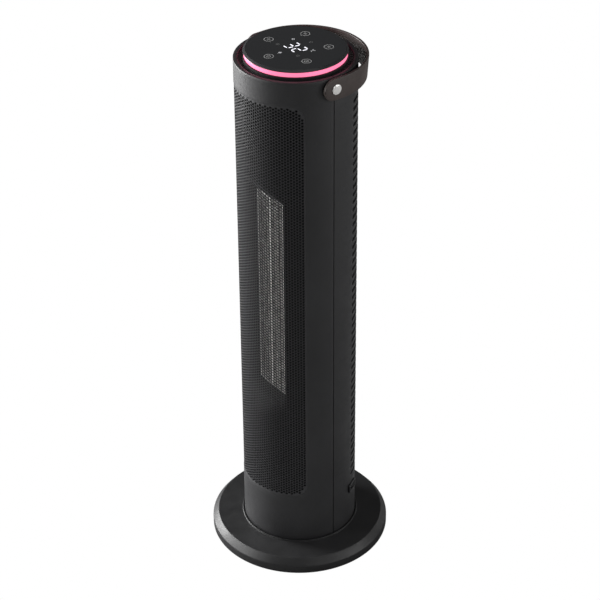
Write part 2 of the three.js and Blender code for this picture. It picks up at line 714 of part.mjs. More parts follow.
// The motor hangs under the lower fan plate: an open can, its stator, and the rotor on the fan's shaft.
function motorCan() {
  const can = disc(MOTOR_RADIUS, motorBottom, motorTop, MEDIUM);
  const inside = disc(MOTOR_RADIUS - MOTOR_WALL, motorBottom + MOTOR_WALL, motorTop + 1, MEDIUM);
  return can.subtract(inside).translate([0, FAN_Y, 0]);
}
place("tower", "motor_can", motorCan(), steel);

const bearingTop = shaftBottom + bearingHeight;
const bearing = ring(shaftHole, FAN_SHAFT + 4, shaftBottom - 1, bearingTop - 1, SMALL);
place("tower", "lower_bearing", bearing.translate([0, FAN_Y, 0]), copper);

const statorBottom = bearingTop + 2;
const stator = ring(
  ROTOR_RADIUS + RUN,
  MOTOR_RADIUS - MOTOR_WALL - GAP,
  statorBottom,
  statorBottom + STATOR_HEIGHT,
  MEDIUM,
);
place("tower", "motor_stator", stator.translate([0, FAN_Y, 0]), copper);

const rotor = ring(FAN_SHAFT + GAP / 2, ROTOR_RADIUS, statorBottom, statorBottom + STATOR_HEIGHT, MEDIUM);
place("impeller", "motor_rotor", rotor.translate([0, FAN_Y, 0]), steel);

// Both plates are cut flat at the front, behind the elements' frame.
function fanPlate(bottom, holeRadius) {
  const plate = disc(innerTower - FAN_PLATE_MARGIN, bottom, bottom + FAN_PLATE, FINE);
  const front = block(-FAR, FAR, -FAR, frameBack + GAP, 0, FAR * 2);
  const hole = disc(holeRadius, bottom - 1, bottom + FAN_PLATE + 1, SMALL).translate([0, FAN_Y, 0]);
  return plate.subtract(front).subtract(hole);
}
const upperBearingRadius = FAN_SHAFT + 5;
place("tower", "fan_plate_lower", fanPlate(lowerPlateTop - FAN_PLATE, shaftHole), black);
place("tower", "fan_plate_upper", fanPlate(upperPlateBottom, upperBearingRadius + GAP), black);

const upperBearing = ring(shaftHole, upperBearingRadius, upperPlateBottom, shaftTop - 1, SMALL);
place("tower", "upper_bearing", upperBearing.translate([0, FAN_Y, 0]), copper);

// The scroll starts close to the blades at the back right, and opens out round the left to the elements.
function scrollOutline(start, end, growth, lead) {
  const steps = 14;
  const inside = [];
  const outside = [];
  for (let i = 0; i <= steps; i++) {
    const angle = start + ((end - start) * i) / steps;
    const radius = FAN_RADIUS + SCROLL_CLEARANCE + (growth * i) / steps;
    const near = around(radius, angle);
    const far = around(radius + SCROLL_WALL, angle);
    inside.push(new THREE.Vector2(near.x, near.y + FAN_Y));
    outside.push(new THREE.Vector2(far.x, far.y + FAN_Y));
  }
  const corner = new THREE.Vector2(lead, frameBack + GAP);
  const cornerOut = new THREE.Vector2(lead + Math.sign(lead) * SCROLL_WALL, frameBack + GAP);
  return [...inside, corner, cornerOut, ...outside.reverse()];
}

const ductBottom = lowerPlateTop + GAP;
const ductTop = upperPlateBottom - GAP;
const scrollPlan = scrollOutline(-150, -60, SCROLL_GROWTH, -elementHalf - 1).reverse();
place("tower", "fan_scroll", upright(scrollPlan, ductBottom, ductTop), black);
const tongue = upright(scrollOutline(100, 62, 1, elementHalf + 1), ductBottom, ductTop);
place("tower", "fan_tongue", tongue, black);

// ---------------------------------------------------------------- electrics in the foot of the tower

const BOARD_HALF_WIDTH = 42;
const BOARD_SETBACK = 26.5; // from the housing's inner wall
const boardY = BOARD_SETBACK - innerTower;
const boardBack = boardY + BOARD_THICKNESS;
const board = block(-BOARD_HALF_WIDTH, BOARD_HALF_WIDTH, boardY, boardBack, plateTop + 4, guideBottom - 2);
place("tower", "power_board", board, boardGreen);
const TILT_SWITCH_INSET = 16.5; // from the housing's inner wall
const TILT_SWITCH_WIDTH = 18;
const TILT_SWITCH_HEIGHT = 24;
const tiltLeft = TILT_SWITCH_INSET - innerTower;
const tiltRight = tiltLeft + TILT_SWITCH_WIDTH;
const tiltSwitch = block(tiltLeft, tiltRight, 6, 22, plateTop + GAP, plateTop + TILT_SWITCH_HEIGHT);
place("tower", "tilt_switch", tiltSwitch, black);

const bezelBack = TOWER_RADIUS + GAP;
const bezelFace = bezelBack + SWITCH_BEZEL;
const keyWidth = SWITCH_WIDTH - 6;
const keyHeight = SWITCH_HEIGHT - 4;
const keyAxis = bezelFace - KEY_PIVOT_DEPTH;
const KEY_CREST = 2.6; // the key's ends stand this far before its axis
const KEY_ROOM = 6; // depth of the recess behind the key's axis

function switchBody() {
  const flange = radialBlock(SWITCH_WIDTH, SWITCH_HEIGHT, SWITCH_ANGLE, SWITCH_Z, bezelBack, bezelFace);
  const near = bezelFace - SWITCH_DEPTH;
  const body = radialBlock(switchBodyWidth, switchBodyHeight, SWITCH_ANGLE, SWITCH_Z, near, bezelBack + 1);
  const wide = keyWidth + 2 * RUN;
  const tall = keyHeight + 2 * RUN;
  const recess = radialBlock(wide, tall, SWITCH_ANGLE, SWITCH_Z, keyAxis - KEY_ROOM, bezelFace + 1);
  return flange.add(body).subtract(recess);
}
place("tower", "switch_body", switchBody(), black);

// The key in its own frame: x across, y outwards from its axis. Its face is a shallow valley.
function rockerKey() {
  const half = keyWidth / 2 - RUN;
  const outline = [
    [-half, 0],
    [-half + 2.5, -2.4],
    [half - 2.5, -2.4],
    [half, 0],
    [half, KEY_CREST],
    [0, KEY_CREST - 1],
    [-half, KEY_CREST],
  ].map(([x, y]) => new THREE.Vector2(x, y));
  const key = upright(outline, -keyHeight / 2, keyHeight / 2);
  return key
    .rotate([0, 0, -KEY_TILT])
    .translate([0, keyAxis, SWITCH_Z])
    .rotate([0, 0, SWITCH_ANGLE - 180]);
}
place("rocker", "rocker_key", rockerKey(), black);

function cordGland() {
  const near = TOWER_RADIUS + 4 - GLAND_LENGTH;
  const outer = radialRod(GLAND_RADIUS, 180, GLAND_Z, near, TOWER_RADIUS + 4);
  return outer.subtract(radialRod(GLAND_BORE, 180, GLAND_Z, near - 1, TOWER_RADIUS + 5));
}
place("tower", "cord_gland", cordGland(), rubber);

// ---------------------------------------------------------------- top: vent ring, light ring, panel

const ventTop = TOWER_TOP - RIM_DEPTH - GAP;
const ventOuter = TOWER_RADIUS - RIM_WIDTH - GAP;
const ventInner = ventOuter - VENT_WIDTH;

function ventRing() {
  let vent = ring(ventInner, insideTower, ventTop - VENT_THICKNESS, ventTop);
  const middle = (ventInner + ventOuter) / 2;
  const length = VENT_WIDTH - 1.2;
  for (let i = 0; i < VENT_SLOTS; i++) {
    const angle = (360 * i) / VENT_SLOTS;
    const near = middle - length / 2;
    vent = vent.subtract(radialBlock(VENT_SLOT_WIDTH, 20, angle, ventTop, near, near + length));
  }
  return vent;
}
place("tower", "vent_ring", ventRing(), black);

const panelRadius = ventInner - PANEL_GAP;
const panelTop = TOWER_TOP + PANEL_RISE;
const panelBottom = panelTop - PANEL_THICKNESS;
const lightTop = panelBottom - GAP;
const lightBottom = lightTop - LIGHT_RING_HEIGHT;
const lightOuter = panelRadius - LIGHT_RING_INSET;
const lightInner = lightOuter - LIGHT_RING_WIDTH;
const carrierTop = lightBottom - GAP;
const CARRIER_THICKNESS = 5;
const SOCKET_WALL = 2;
const displayHeight = 3;
const boardBottom = lightTop - displayHeight - GAP - BOARD_THICKNESS;

// The carrier is a tray with a low wall that the control board rests on.
function panelCarrier() {
  const profile = [
    [0, carrierTop - CARRIER_THICKNESS],
    [ventInner - GAP, carrierTop - CARRIER_THICKNESS],
    [ventInner - GAP, carrierTop],
    [lightInner - GAP, carrierTop],
    [lightInner - GAP, boardBottom - GAP],
    [lightInner - GAP - SOCKET_WALL, boardBottom - GAP],
    [lightInner - GAP - SOCKET_WALL, carrierTop],
    [0, carrierTop],
  ];
  return turned(profile);
}
place("tower", "panel_carrier", panelCarrier(), black);
place("tower", "light_ring", ring(lightInner, lightOuter, lightBottom, lightTop), pinkLight);
const controlBoard = disc(lightInner - 1, boardBottom, boardBottom + BOARD_THICKNESS, MEDIUM);
place("tower", "control_board", controlBoard, boardGreen);

const boardTop = boardBottom + BOARD_THICKNESS + GAP;
const halfWide = DISPLAY_WIDTH / 2;
const halfDeep = DISPLAY_DEPTH / 2;
place("tower", "display_module", block(-halfWide, halfWide, -halfDeep, halfDeep, boardTop, lightTop), nylon);

for (let i = 0; i < TOUCH_KEYS; i++) {
  const spot = around(TOUCH_KEY_RADIUS, (360 * i) / TOUCH_KEYS);
  const spring = ring(2.6, 4, boardTop, lightTop, SMALL).translate([spot.x, spot.y, 0]);
  place("tower", "touch_spring_" + (i + 1), spring, steel);
}

function controlPanel() {
  return turned([
    [0, panelBottom],
    [panelRadius - 0.4, panelBottom],
    [panelRadius, panelBottom + 0.4],
    [panelRadius, panelTop - PANEL_BEVEL],
    [panelRadius - PANEL_BEVEL, panelTop],
    [0, panelTop],
  ]);
}
place("tower", "control_panel", controlPanel(), glass);

// ---------------------------------------------------------------- handle

const strapInner = TOWER_RADIUS + STRAP_GAP;
const strapOuter = strapInner + STRAP_THICKNESS;
const strapBottom = rivetZ - STRAP_HEIGHT / 2;
const strapTop = rivetZ + STRAP_HEIGHT / 2;

// The strap's plan is a U round the back. Its free ends are half discs round the rivets.
function handleStrap() {
  const front = -STRAP_END - STRAP_HEIGHT / 2;
  const arc = (radius) =>
    Array.from({ length: 25 }, (_, i) => {
      const angle = Math.PI * (i / 24);
      return new THREE.Vector2(radius * Math.cos(angle), STRAP_REACH + radius * Math.sin(angle));
    });
  const plan = [
    new THREE.Vector2(strapOuter, front),
    ...arc(strapOuter),
    new THREE.Vector2(-strapOuter, front),
    new THREE.Vector2(-strapInner, front),
    ...arc(strapInner).reverse(),
    new THREE.Vector2(strapInner, front),
  ];
  const band = upright(plan, strapBottom, strapTop);
  const length = 2 * strapOuter + 2;
  const rounded = new THREE.CylinderGeometry(STRAP_HEIGHT / 2, STRAP_HEIGHT / 2, length, MEDIUM);
  const ends = solid(rounded.rotateZ(Math.PI / 2).translate(0, -STRAP_END, rivetZ));
  const rest = block(-FAR, FAR, -STRAP_END, FAR, strapBottom, strapTop);
  let strap = band.intersect(ends.add(rest));
  for (const side of [-90, 90]) {
    strap = strap.subtract(radialRod(RIVET_SHANK + GAP, side, rivetZ, strapInner - 2, strapOuter + 2));
  }
  return strap;
}
place("handle", "handle_strap", handleStrap(), leather);

const bushFar = strapInner - RUN;
for (const [angle, side] of [[90, "right"], [-90, "left"]]) {
  const bushNear = bushFar - BUSH_LENGTH;
  const bore = radialRod(RIVET_SHANK + RUN, angle, rivetZ, bushNear - 1, bushFar + 1);
  const bush = radialRod(BUSH_RADIUS, angle, rivetZ, bushNear, bushFar, 24).subtract(bore);
  place("tower", "pivot_bush_" + side, bush, black);
  const headNear = strapOuter + GAP;
  const rivet = radialRod(RIVET_RADIUS, angle, rivetZ, headNear, headNear + RIVET_HEAD / 2, 24)
    .add(radialRod(RIVET_RADIUS - 1, angle, rivetZ, headNear, headNear + RIVET_HEAD, 24))
    .add(radialRod(RIVET_SHANK, angle, rivetZ, bushNear + 1, headNear + 1));
  place("handle", "rivet_" + side, rivet, polished);
}

export default heater;
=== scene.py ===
"""A ceramic tower heater: round base, slim perforated tower, light ring, touch panel and strap handle."""

import math

import bmesh
import bpy
import numpy as np
from mathutils import Matrix, Vector, geometry


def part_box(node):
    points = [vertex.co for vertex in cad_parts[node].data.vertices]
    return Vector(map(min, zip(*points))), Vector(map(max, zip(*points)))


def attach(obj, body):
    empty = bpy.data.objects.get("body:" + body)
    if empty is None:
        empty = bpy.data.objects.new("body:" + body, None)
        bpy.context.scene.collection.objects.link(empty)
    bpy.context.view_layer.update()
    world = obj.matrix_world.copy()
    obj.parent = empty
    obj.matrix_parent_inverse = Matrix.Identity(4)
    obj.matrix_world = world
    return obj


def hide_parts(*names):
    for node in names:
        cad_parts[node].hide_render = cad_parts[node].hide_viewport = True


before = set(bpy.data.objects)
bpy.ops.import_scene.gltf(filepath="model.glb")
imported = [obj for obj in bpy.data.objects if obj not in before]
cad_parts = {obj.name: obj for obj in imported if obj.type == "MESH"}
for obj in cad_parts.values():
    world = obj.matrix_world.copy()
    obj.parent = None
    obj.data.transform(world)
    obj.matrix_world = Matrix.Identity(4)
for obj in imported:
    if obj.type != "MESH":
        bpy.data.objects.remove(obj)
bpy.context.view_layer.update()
scene = bpy.context.scene

# Camera: a long lens, level with nothing, that looks down on the right front of the tower.
# It is rolled by half a degree.
VIEW_TURN = math.radians(53.2)
VIEW_TILT = math.radians(32.71)
VIEW_DISTANCE = 2.606
VIEW_ROLL = 0.0084
VIEW_ASIDE = 0.0027
AIM_HEIGHT = 0.356
LENS_LENGTH, FILM_WIDTH = 121.98, 36

ahead = Vector((-math.sin(VIEW_TURN) * math.cos(VIEW_TILT),
                math.cos(VIEW_TURN) * math.cos(VIEW_TILT),
                -math.sin(VIEW_TILT)))
level = Vector((math.cos(VIEW_TURN), math.sin(VIEW_TURN), 0))
upward = level.cross(ahead)
across = level * math.cos(VIEW_ROLL) - upward * math.sin(VIEW_ROLL)
upright = upward * math.cos(VIEW_ROLL) + level * math.sin(VIEW_ROLL)
camera = bpy.data.objects.new("camera", bpy.data.cameras.new("camera"))
camera.data.lens = LENS_LENGTH
camera.data.sensor_width = FILM_WIDTH
camera.data.clip_end = 30
eye = Vector((0, 0, AIM_HEIGHT)) - ahead * VIEW_DISTANCE + level * VIEW_ASIDE
turn = Matrix((across, upright, -ahead)).transposed().to_4x4()
camera.matrix_world = Matrix.Translation(eye) @ turn
scene.collection.objects.link(camera)
scene.camera = camera
scene.view_settings.view_transform = "Standard"


# Studio: white surroundings, dim to everything but the eye, and soft boxes round the tower. The tall
# one behind on the left draws the bright edge down the front of the housing.
def softbox(name, turn_deg, height, distance, width, tall, watts):
    """An area light at turn_deg from the camera's side, seen from above, aimed at the tower's middle."""
    angle = VIEW_TURN + math.radians(turn_deg)
    spot = Vector((math.sin(angle) * distance, -math.cos(angle) * distance, height))
    light = bpy.data.lights.new(name, "AREA")
    light.shape = "RECTANGLE"
    light.size, light.size_y = width, tall
    light.energy = watts
    lamp = bpy.data.objects.new(name, light)
    toward = spot - Vector((0, 0, AIM_HEIGHT))
    lamp.matrix_world = Matrix.Translation(spot) @ toward.to_track_quat("Z", "Y").to_matrix().to_4x4()
    scene.collection.objects.link(lamp)


softbox("box_left_behind", -116, 0.75, 2.2, 0.8, 1.9, 135)
softbox("box_left", -74, 1.0, 2.4, 0.7, 1.6, 34)
softbox("box_right_behind", 125, 0.9, 2.4, 0.6, 1.6, 7)
softbox("box_front", 34, 1.4, 3.0, 1.2, 1.6, 13)
softbox("box_right", 72, 1.0, 2.6, 0.9, 1.6, 22)
softbox("box_above", 20, 3.2, 1.0, 2.6, 2.6, 13)

SURROUNDINGS = 0.065  # of white, to all but the eye
world = bpy.data.worlds.new("studio")
scene.world = world
world.use_nodes = True
sky = world.node_tree.nodes["Background"]
path = world.node_tree.nodes.new("ShaderNodeLightPath")
dim = world.node_tree.nodes.new("ShaderNodeMapRange")
dim.inputs["To Min"].default_value = SURROUNDINGS
dim.inputs["To Max"].default_value = 1.0
world.node_tree.links.new(path.outputs["Is Camera Ray"], dim.inputs["Value"])
world.node_tree.links.new(dim.outputs["Result"], sky.inputs["Strength"])
sky.inputs["Color"].default_value = (1, 1, 1, 1)


# Base: one dish of the housings' charcoal plastic, darkened to under half its brightness as painted shade,
# moulded with a fine spark-eroded texture that scatters highlights. Its edge stands upright, then a wide
# chamfer leans in to the flat top, and a low lip stands round the foot of the tower. The middle is sunk for
# the swing gear.
def add_piece(name, verts, faces, body, slot, finish, smooth_deg=35, replaces=()):
    """A mesh from points in millimetres and faces of one size each, riding on a body of the frame."""
    mesh = bpy.data.meshes.new(name)
    mesh.from_pydata((np.asarray(verts, float).reshape(-1, 3) / 1000).tolist(), [],
                     [f for group in faces for f in np.asarray(group, int).tolist()])
    work = bmesh.new()
    work.from_mesh(mesh)
    bmesh.ops.remove_doubles(work, verts=work.verts, dist=1e-7)
    bmesh.ops.dissolve_degenerate(work, edges=work.edges, dist=1e-8)
    bmesh.ops.recalc_face_normals(work, faces=work.faces)
    work.to_mesh(mesh)
    work.free()
    mesh.polygons.foreach_set("use_smooth", np.ones(len(mesh.polygons), bool))
    mesh.set_sharp_from_angle(angle=math.radians(smooth_deg))
    mesh.materials.append(finish)
    piece = bpy.data.objects.new(name, mesh)
    scene.collection.objects.link(piece)
    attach(piece, body)
    if replaces:
        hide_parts(*replaces)


def span(node):
    """The low and high corner of a CAD node, in millimetres."""
    low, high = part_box(node)
    return np.array(low) * 1000, np.array(high) * 1000


def grid_faces(rows, columns, wrap_rows, wrap_columns):
    """Quads between neighbours of a rows by columns grid of points, counted row by row."""
    i = np.arange(rows if wrap_rows else rows - 1)
    j = np.arange(columns if wrap_columns else columns - 1)
    i, j = np.meshgrid(i, j, indexing="ij")
    up, on = (i + 1) % rows, (j + 1) % columns
    quads = [i * columns + j, i * columns + on, up * columns + on, up * columns + j]
    return np.stack(quads, -1).reshape(-1, 4)


def round_corners(points, radius, steps=5):
    """A closed outline whose corners are curves: at each corner P, from A to B a radius away along its
    sides, the curve is (1-t)^2 A + 2t(1-t) P + t^2 B."""
    p = np.asarray(points, float)
    before, after = np.roll(p, 1, 0) - p, np.roll(p, -1, 0) - p
    r = np.broadcast_to(np.asarray(radius, float), len(p))[:, None]
    a = p + before / np.linalg.norm(before, axis=1, keepdims=True) * r
    b = p + after / np.linalg.norm(after, axis=1, keepdims=True) * r
    t = np.linspace(0, 1, steps)[None, :, None]
    curve = (1 - t) ** 2 * a[:, None] + 2 * t * (1 - t) * p[:, None] + t ** 2 * b[:, None]
    return curve.reshape(-1, 2)


def turned(outline, sides=180):
    """An outline of radius and height, anticlockwise, turned about the z axis: x = r sin a, y = -r cos a.
    An outline that starts and ends on the axis gets a pole there."""
    outline = np.asarray(outline, float)
    poles = outline[0, 0] == 0
    rings = outline[1:-1] if poles else outline
    a = np.linspace(0, 2 * math.pi, sides, endpoint=False)
    r, z = rings[:, 0, None], rings[:, 1, None]
    verts = np.stack([r * np.sin(a), -r * np.cos(a), z + 0 * a], -1).reshape(-1, 3)
    faces = [grid_faces(len(rings), sides, not poles, True)]
    if poles:
        verts = np.vstack([verts, [[0, 0, outline[0, 1]], [0, 0, outline[-1, 1]]]])
        j = np.arange(sides)
        on = (j + 1) % sides
        last = (len(rings) - 1) * sides
        faces.append(np.stack([np.full(sides, len(verts) - 2), on, j], -1))
        faces.append(np.stack([np.full(sides, len(verts) - 1), last + j, last + on], -1))
    return verts, faces


class Finish:
    """A material under construction: its shader, and the object's own coordinates to draw patterns on."""

    def __init__(self, name, colour, roughness, metal=0.0):
        """An even finish to start from."""
        self.made = bpy.data.materials.new(name)
        self.made.use_nodes = True
        self.tree = self.made.node_tree
        self.shader = self.tree.nodes["Principled BSDF"]
        self.shader.inputs["Base Color"].default_value = (*colour, 1)
        self.shader.inputs["Roughness"].default_value = roughness
        self.shader.inputs["Metallic"].default_value = metal
        self.place = self.tree.nodes.new("ShaderNodeTexCoord").outputs["Object"]

    def node(self, kind, **inputs):
        """A shader node whose inputs are values or the outputs of other nodes."""
        made = self.tree.nodes.new("ShaderNode" + kind)
        for key, value in inputs.items():
            socket = made.inputs[key.replace("_", " ")]
            if isinstance(value, bpy.types.NodeSocket):
                self.tree.links.new(value, socket)
            else:
                socket.default_value = value
        return made

    def noise(self, scale, detail=3.0):
        """A cloudy pattern about 0.5, with so many clouds to a metre."""
        return self.node("TexNoise", Vector=self.place, Scale=scale, Detail=detail).outputs["Fac"]

    def patches(self, scale, detail, low, high, spread=0.2):
        """Noise whose stretch from 0.5 - spread to 0.5 + spread is laid onto low to high."""
        made = self.node("MapRange", Value=self.noise(scale, detail), From_Min=0.5 - spread,
                         From_Max=0.5 + spread, To_Min=low, To_Max=high)
        return made.outputs["Result"]

    def relief(self, *layers):
        """Bumps laid over each other, each a height pattern with its depth in metres."""
        below = None
        for height, depth in layers:
            bump = self.node("Bump", Height=height, Distance=depth, Strength=1.0)
            if below:
                self.tree.links.new(below, bump.inputs["Normal"])
            below = bump.outputs["Normal"]
        self.tree.links.new(below, self.shader.inputs["Normal"])

    def vary(self, dark, light, amount):
        """The colour goes from dark to light with a pattern from 0 to 1."""
        mix = self.node("Mix")
        mix.data_type = "RGBA"
        colours = [s for s in mix.inputs if s.type == "RGBA"]
        colours[0].default_value = (*dark, 1)
        colours[1].default_value = (*light, 1)
        self.tree.links.new(amount, mix.inputs["Factor"])
        self.tree.links.new([s for s in mix.outputs if s.type == "RGBA"][0], self.shader.inputs["Base Color"])

    def roughness(self, value):
        """The roughness follows a pattern."""
        self.tree.links.new(value, self.shader.inputs["Roughness"])

    def glow(self, colour, low, high, scale):
        """Light of its own, whose strength wavers from low to high in patches."""
        self.shader.inputs["Emission Color"].default_value = (*colour, 1)
        self.tree.links.new(self.patches(scale, 1.0, low, high), self.shader.inputs["Emission Strength"])


def grained(name, colour, roughness, scale, detail, depth):
    """An even finish with a fine grain, so many grains to a metre and so deep."""
    finish = Finish(name, colour, roughness)
    finish.relief((finish.noise(scale, detail), depth))
    return finish.made


def charcoal_moulding(name, light):
    """Charcoal plastic at a share of its usual brightness, where a share below one is painted shade, with
    cloudy gloss over a fine grain.
    """
    dark = (0.02 * light, 0.02 * light, 0.0212 * light)
    finish = Finish(name, dark, 0.5)
    grain = finish.noise(2600, 2.0)
    finish.vary(dark, tuple(c * 1.32 for c in dark), finish.patches(14, 3.0, 0.0, 1.0))
    finish.roughness(finish.patches(60, 4.0, 0.44, 0.54))
    finish.relief((grain, 0.00006), (finish.noise(420, 2.0), 0.00004))
    return finish.made


LIP_WIDTH, LIP_HEIGHT, LIP_GAP = 1.6, 1.8, 1.2
CHAMFER_WIDTH, CHAMFER_START = 7.6, 12.3
SKIRT = 1.2  # height of the edge over the floor
BASE_WALL, CHAMFER_WALL, BASE_HOLLOW = 3, 9.5, 4.9
WELL_RADIUS, WELL_FLOOR, WELL_OUTSIDE, HUB_HOLE = 66, 11.4, 69, 13
low, high = span("base_shell")
base_radius, hollow_top, lip_top = high[0], low[2] + BASE_HOLLOW, high[2]
base_flat = lip_top - LIP_HEIGHT
tower_radius = span("front_housing")[1][0]
lip_inner = tower_radius + LIP_GAP
lip_outer = lip_inner + LIP_WIDTH
base_points = [
    (HUB_HOLE, hollow_top), (WELL_OUTSIDE, hollow_top), (WELL_OUTSIDE, base_flat - BASE_WALL),
    (base_radius - CHAMFER_WALL, base_flat - BASE_WALL),
    (base_radius - BASE_WALL, CHAMFER_START - BASE_WALL / 2), (base_radius - BASE_WALL, SKIRT),
    (base_radius, SKIRT), (base_radius, CHAMFER_START), (base_radius - CHAMFER_WIDTH, base_flat),
    (lip_outer, base_flat), (lip_outer, lip_top), (lip_inner, lip_top), (lip_inner, base_flat),
    (WELL_RADIUS, base_flat), (WELL_RADIUS, WELL_FLOOR), (HUB_HOLE, WELL_FLOOR),
]
base_rounds = [0.3, 0.5, 0.5, 1, 1, 0.4, 0.8, 1.2, 1.0, 0.5, 0.55, 0.4, 0.2, 0.6, 0.5, 0.3]
# The base is the housings' plastic at 0.45 of its brightness: the darkening is painted shade.
base_charcoal_painted_shade = charcoal_moulding("base_moulding_painted_shade", 0.45)
verts, faces = turned(round_corners(base_points, base_rounds), 240)
add_piece("base_dish", verts, faces, "base", "housing_plastic", base_charcoal_painted_shade, replaces=["base_shell"])


# Housings: two half shells of the same plastic at its full brightness, lighter than the base only by the
# base's painted shade, that meet at a seam on either side. A wall is drawn flat, as arc and height, between a
# rounded hole and a square frame, then wrapped round.
SEAM_HALF = 0.4  # of the dark line between the shells
WALL = 2.5
EDGE = 0.55  # rounding of every outer edge
WINDOW_GAP, WINDOW_DEG, WINDOW_CORNER = 0.4, 61.4, 18
charcoal = charcoal_moulding("charcoal_moulding", 1.0)
tower_low, tower_high = span("front_housing")
shell_bottom, shell_top = tower_low[2], tower_high[2]
front_window = span("front_grille")
window_low, window_high = front_window[0][2] - WINDOW_GAP, front_window[1][2] + WINDOW_GAP
TO_DEG = 180 / (math.pi * tower_radius)


def hole_loop(half, low, high, corner, straight, sides, arc):
    """A rounded rectangle, anticlockwise from the foot of its right side: half is in millimetres of arc."""
    inner, side = half - corner, high - low - 2 * corner
    t = np.linspace(0, math.pi / 2, arc + 1)
    up = np.linspace(0, 1, sides + 1)[1:-1]
    over = np.linspace(0, 1, straight + 1)[1:-1]
    quarter = np.stack([np.cos(t), np.sin(t)], -1) * corner
    return np.vstack([
        np.stack([half + 0 * up, low + corner + side * up], -1),
        quarter + [inner, high - corner],
        np.stack([inner - 2 * inner * over, high + 0 * over], -1),
        quarter[::-1] * [-1, 1] + [-inner, high - corner],
        np.stack([-half + 0 * up, high - corner - side * up], -1),
        quarter * [-1, -1] + [-inner, low + corner],
        np.stack([-inner + 2 * inner * over, low + 0 * over], -1),
        quarter[::-1] * [1, -1] + [inner, low + corner],
    ])


def frame_loop(half, low, high, hole, hole_box, corner):
    """The square frame round a hole: a point of the hole's corner goes out from that corner's centre until
    it meets the frame, and the others go straight out."""
    inner = hole_box[0] - corner
    floor, roof = hole_box[1] + corner, hole_box[2] - corner
    x, z = hole[:, 0], hole[:, 1]
    middle_x, middle_z = np.clip(x, -inner, inner), np.clip(z, floor, roof)
    dx, dz = (x - middle_x) / corner, (z - middle_z) / corner
    reach = np.maximum(np.maximum(abs(dx), abs(dz)), 1e-9)
    room_z = np.where(dz >= 0, high - roof, floor - low)
    return np.stack([middle_x + dx / reach * (half - inner), middle_z + dz / reach * room_z], -1)


def holed_wall(half, low, high, hole_box, corner, counts, steps, closed):
    """Rows of points that run from the frame over the outer face into the hole and back along the inner
    face. closed says whether the frame's own edge is rounded and walled."""
    def ring_at(inset):
        """The hole's loop, so much smaller all round."""
        box = (hole_box[0] - inset, hole_box[1] + inset, hole_box[2] - inset)
        return hole_loop(*box, corner - inset, *counts)
    hole = ring_at(0)
    outer = frame_loop(half, low, high, hole, hole_box, corner)
    tucked = outer.copy()
    if closed:
        tucked = np.stack([np.clip(outer[:, 0], -half + EDGE, half - EDGE),
                           np.clip(outer[:, 1], low + EDGE, high - EDGE)], -1)
    rows, depth = [], []
    if closed:
        for t in (0, 45):
            rows.append(outer + (tucked - outer) * (1 - math.cos(math.radians(t))))
            depth.append(EDGE * (1 - math.sin(math.radians(t))))
    for share in np.linspace(0, 1, steps + 1):
        rows.append(tucked + (hole - tucked) * share)
        depth.append(0)
    for t in (45, 90):
        rows.append(ring_at(EDGE * math.sin(math.radians(t))))
        depth.append(EDGE * (1 - math.cos(math.radians(t))))
    rows.append(ring_at(EDGE))
    depth.append(WALL)
    for share in np.linspace(1, 0, max(2, steps // 2) + 1)[1:]:
        rows.append(outer + (ring_at(EDGE) - outer) * share)
        depth.append(WALL)
    return np.array(rows), np.array(depth, float)


def wrapped(flat, depth, middle_deg):
    """Flat points of arc and height laid round the tower, each at its depth under the outer face."""
    angle = np.radians(middle_deg + flat[..., 0] * TO_DEG)
    radius = tower_radius - depth
    return np.stack([radius * np.sin(angle), -radius * np.cos(angle), flat[..., 1]], -1)


quarter_arc = math.pi * tower_radius / 2
half_shell = quarter_arc - SEAM_HALF
window_half = WINDOW_DEG / TO_DEG
rows, depth = holed_wall(half_shell, shell_bottom, shell_top, (window_half, window_low, window_high),
                         WINDOW_CORNER, (40, 60, 12), 10, True)
verts = wrapped(rows, depth[:, None], 0)
add_piece("front_shell", verts, [grid_faces(len(rows), rows.shape[1], True, True)[:, ::-1]], "tower",
          "housing_plastic", charcoal, replaces=["front_housing"])


# The back shell is a pile of strips, one louvre slot in each, between a plain foot and a plain head.
LOUVRES, LOUVRE_PITCH, LOUVRE_HEIGHT = 53, 10.7, 6.0
strip_start = window_low - (LOUVRE_PITCH - LOUVRE_HEIGHT) / 2
louvre_counts = (22, 2, 12)
louvre_corner = LOUVRE_HEIGHT / 2 - 0.25


def louvre_strip(index):
    """One strip of the back shell with its slot, open above and below and walled at the seams."""
    low = strip_start + LOUVRE_PITCH * index
    slot = (window_half, low + (LOUVRE_PITCH - LOUVRE_HEIGHT) / 2, low + (LOUVRE_PITCH + LOUVRE_HEIGHT) / 2)
    return holed_wall(half_shell, low, low + LOUVRE_PITCH, slot, louvre_corner, louvre_counts, 6, False)


def joined(parts):
    """Several solids as one list of points and one of faces."""
    verts, faces, count = [], [], 0
    for part_verts, part_faces in parts:
        verts.append(part_verts)
        faces += [np.asarray(group) + count for group in part_faces]
        count += len(part_verts)
    return np.vstack(verts), faces


pieces = []
for index in range(LOUVRES):
    rows, depth = louvre_strip(index)
    points = rows.shape[1]
    at_seam = np.abs(np.abs(rows[0, :, 0]) - half_shell) < 1e-6
    walled = np.flatnonzero(at_seam & np.roll(at_seam, -1))
    on, last = (walled + 1) % points, (len(rows) - 1) * points
    seam_walls = np.stack([last + walled, walled, on, last + on], -1)
    faces = [group[:, ::-1] for group in (grid_faces(len(rows), points, False, True), seam_walls)]
    pieces.append((wrapped(rows, depth[:, None], 180).reshape(-1, 3), faces))
edge_x = np.unique(np.round(rows[0, np.abs(rows[0, :, 1] - rows[0, :, 1].max()) < 1e-6, 0], 6))


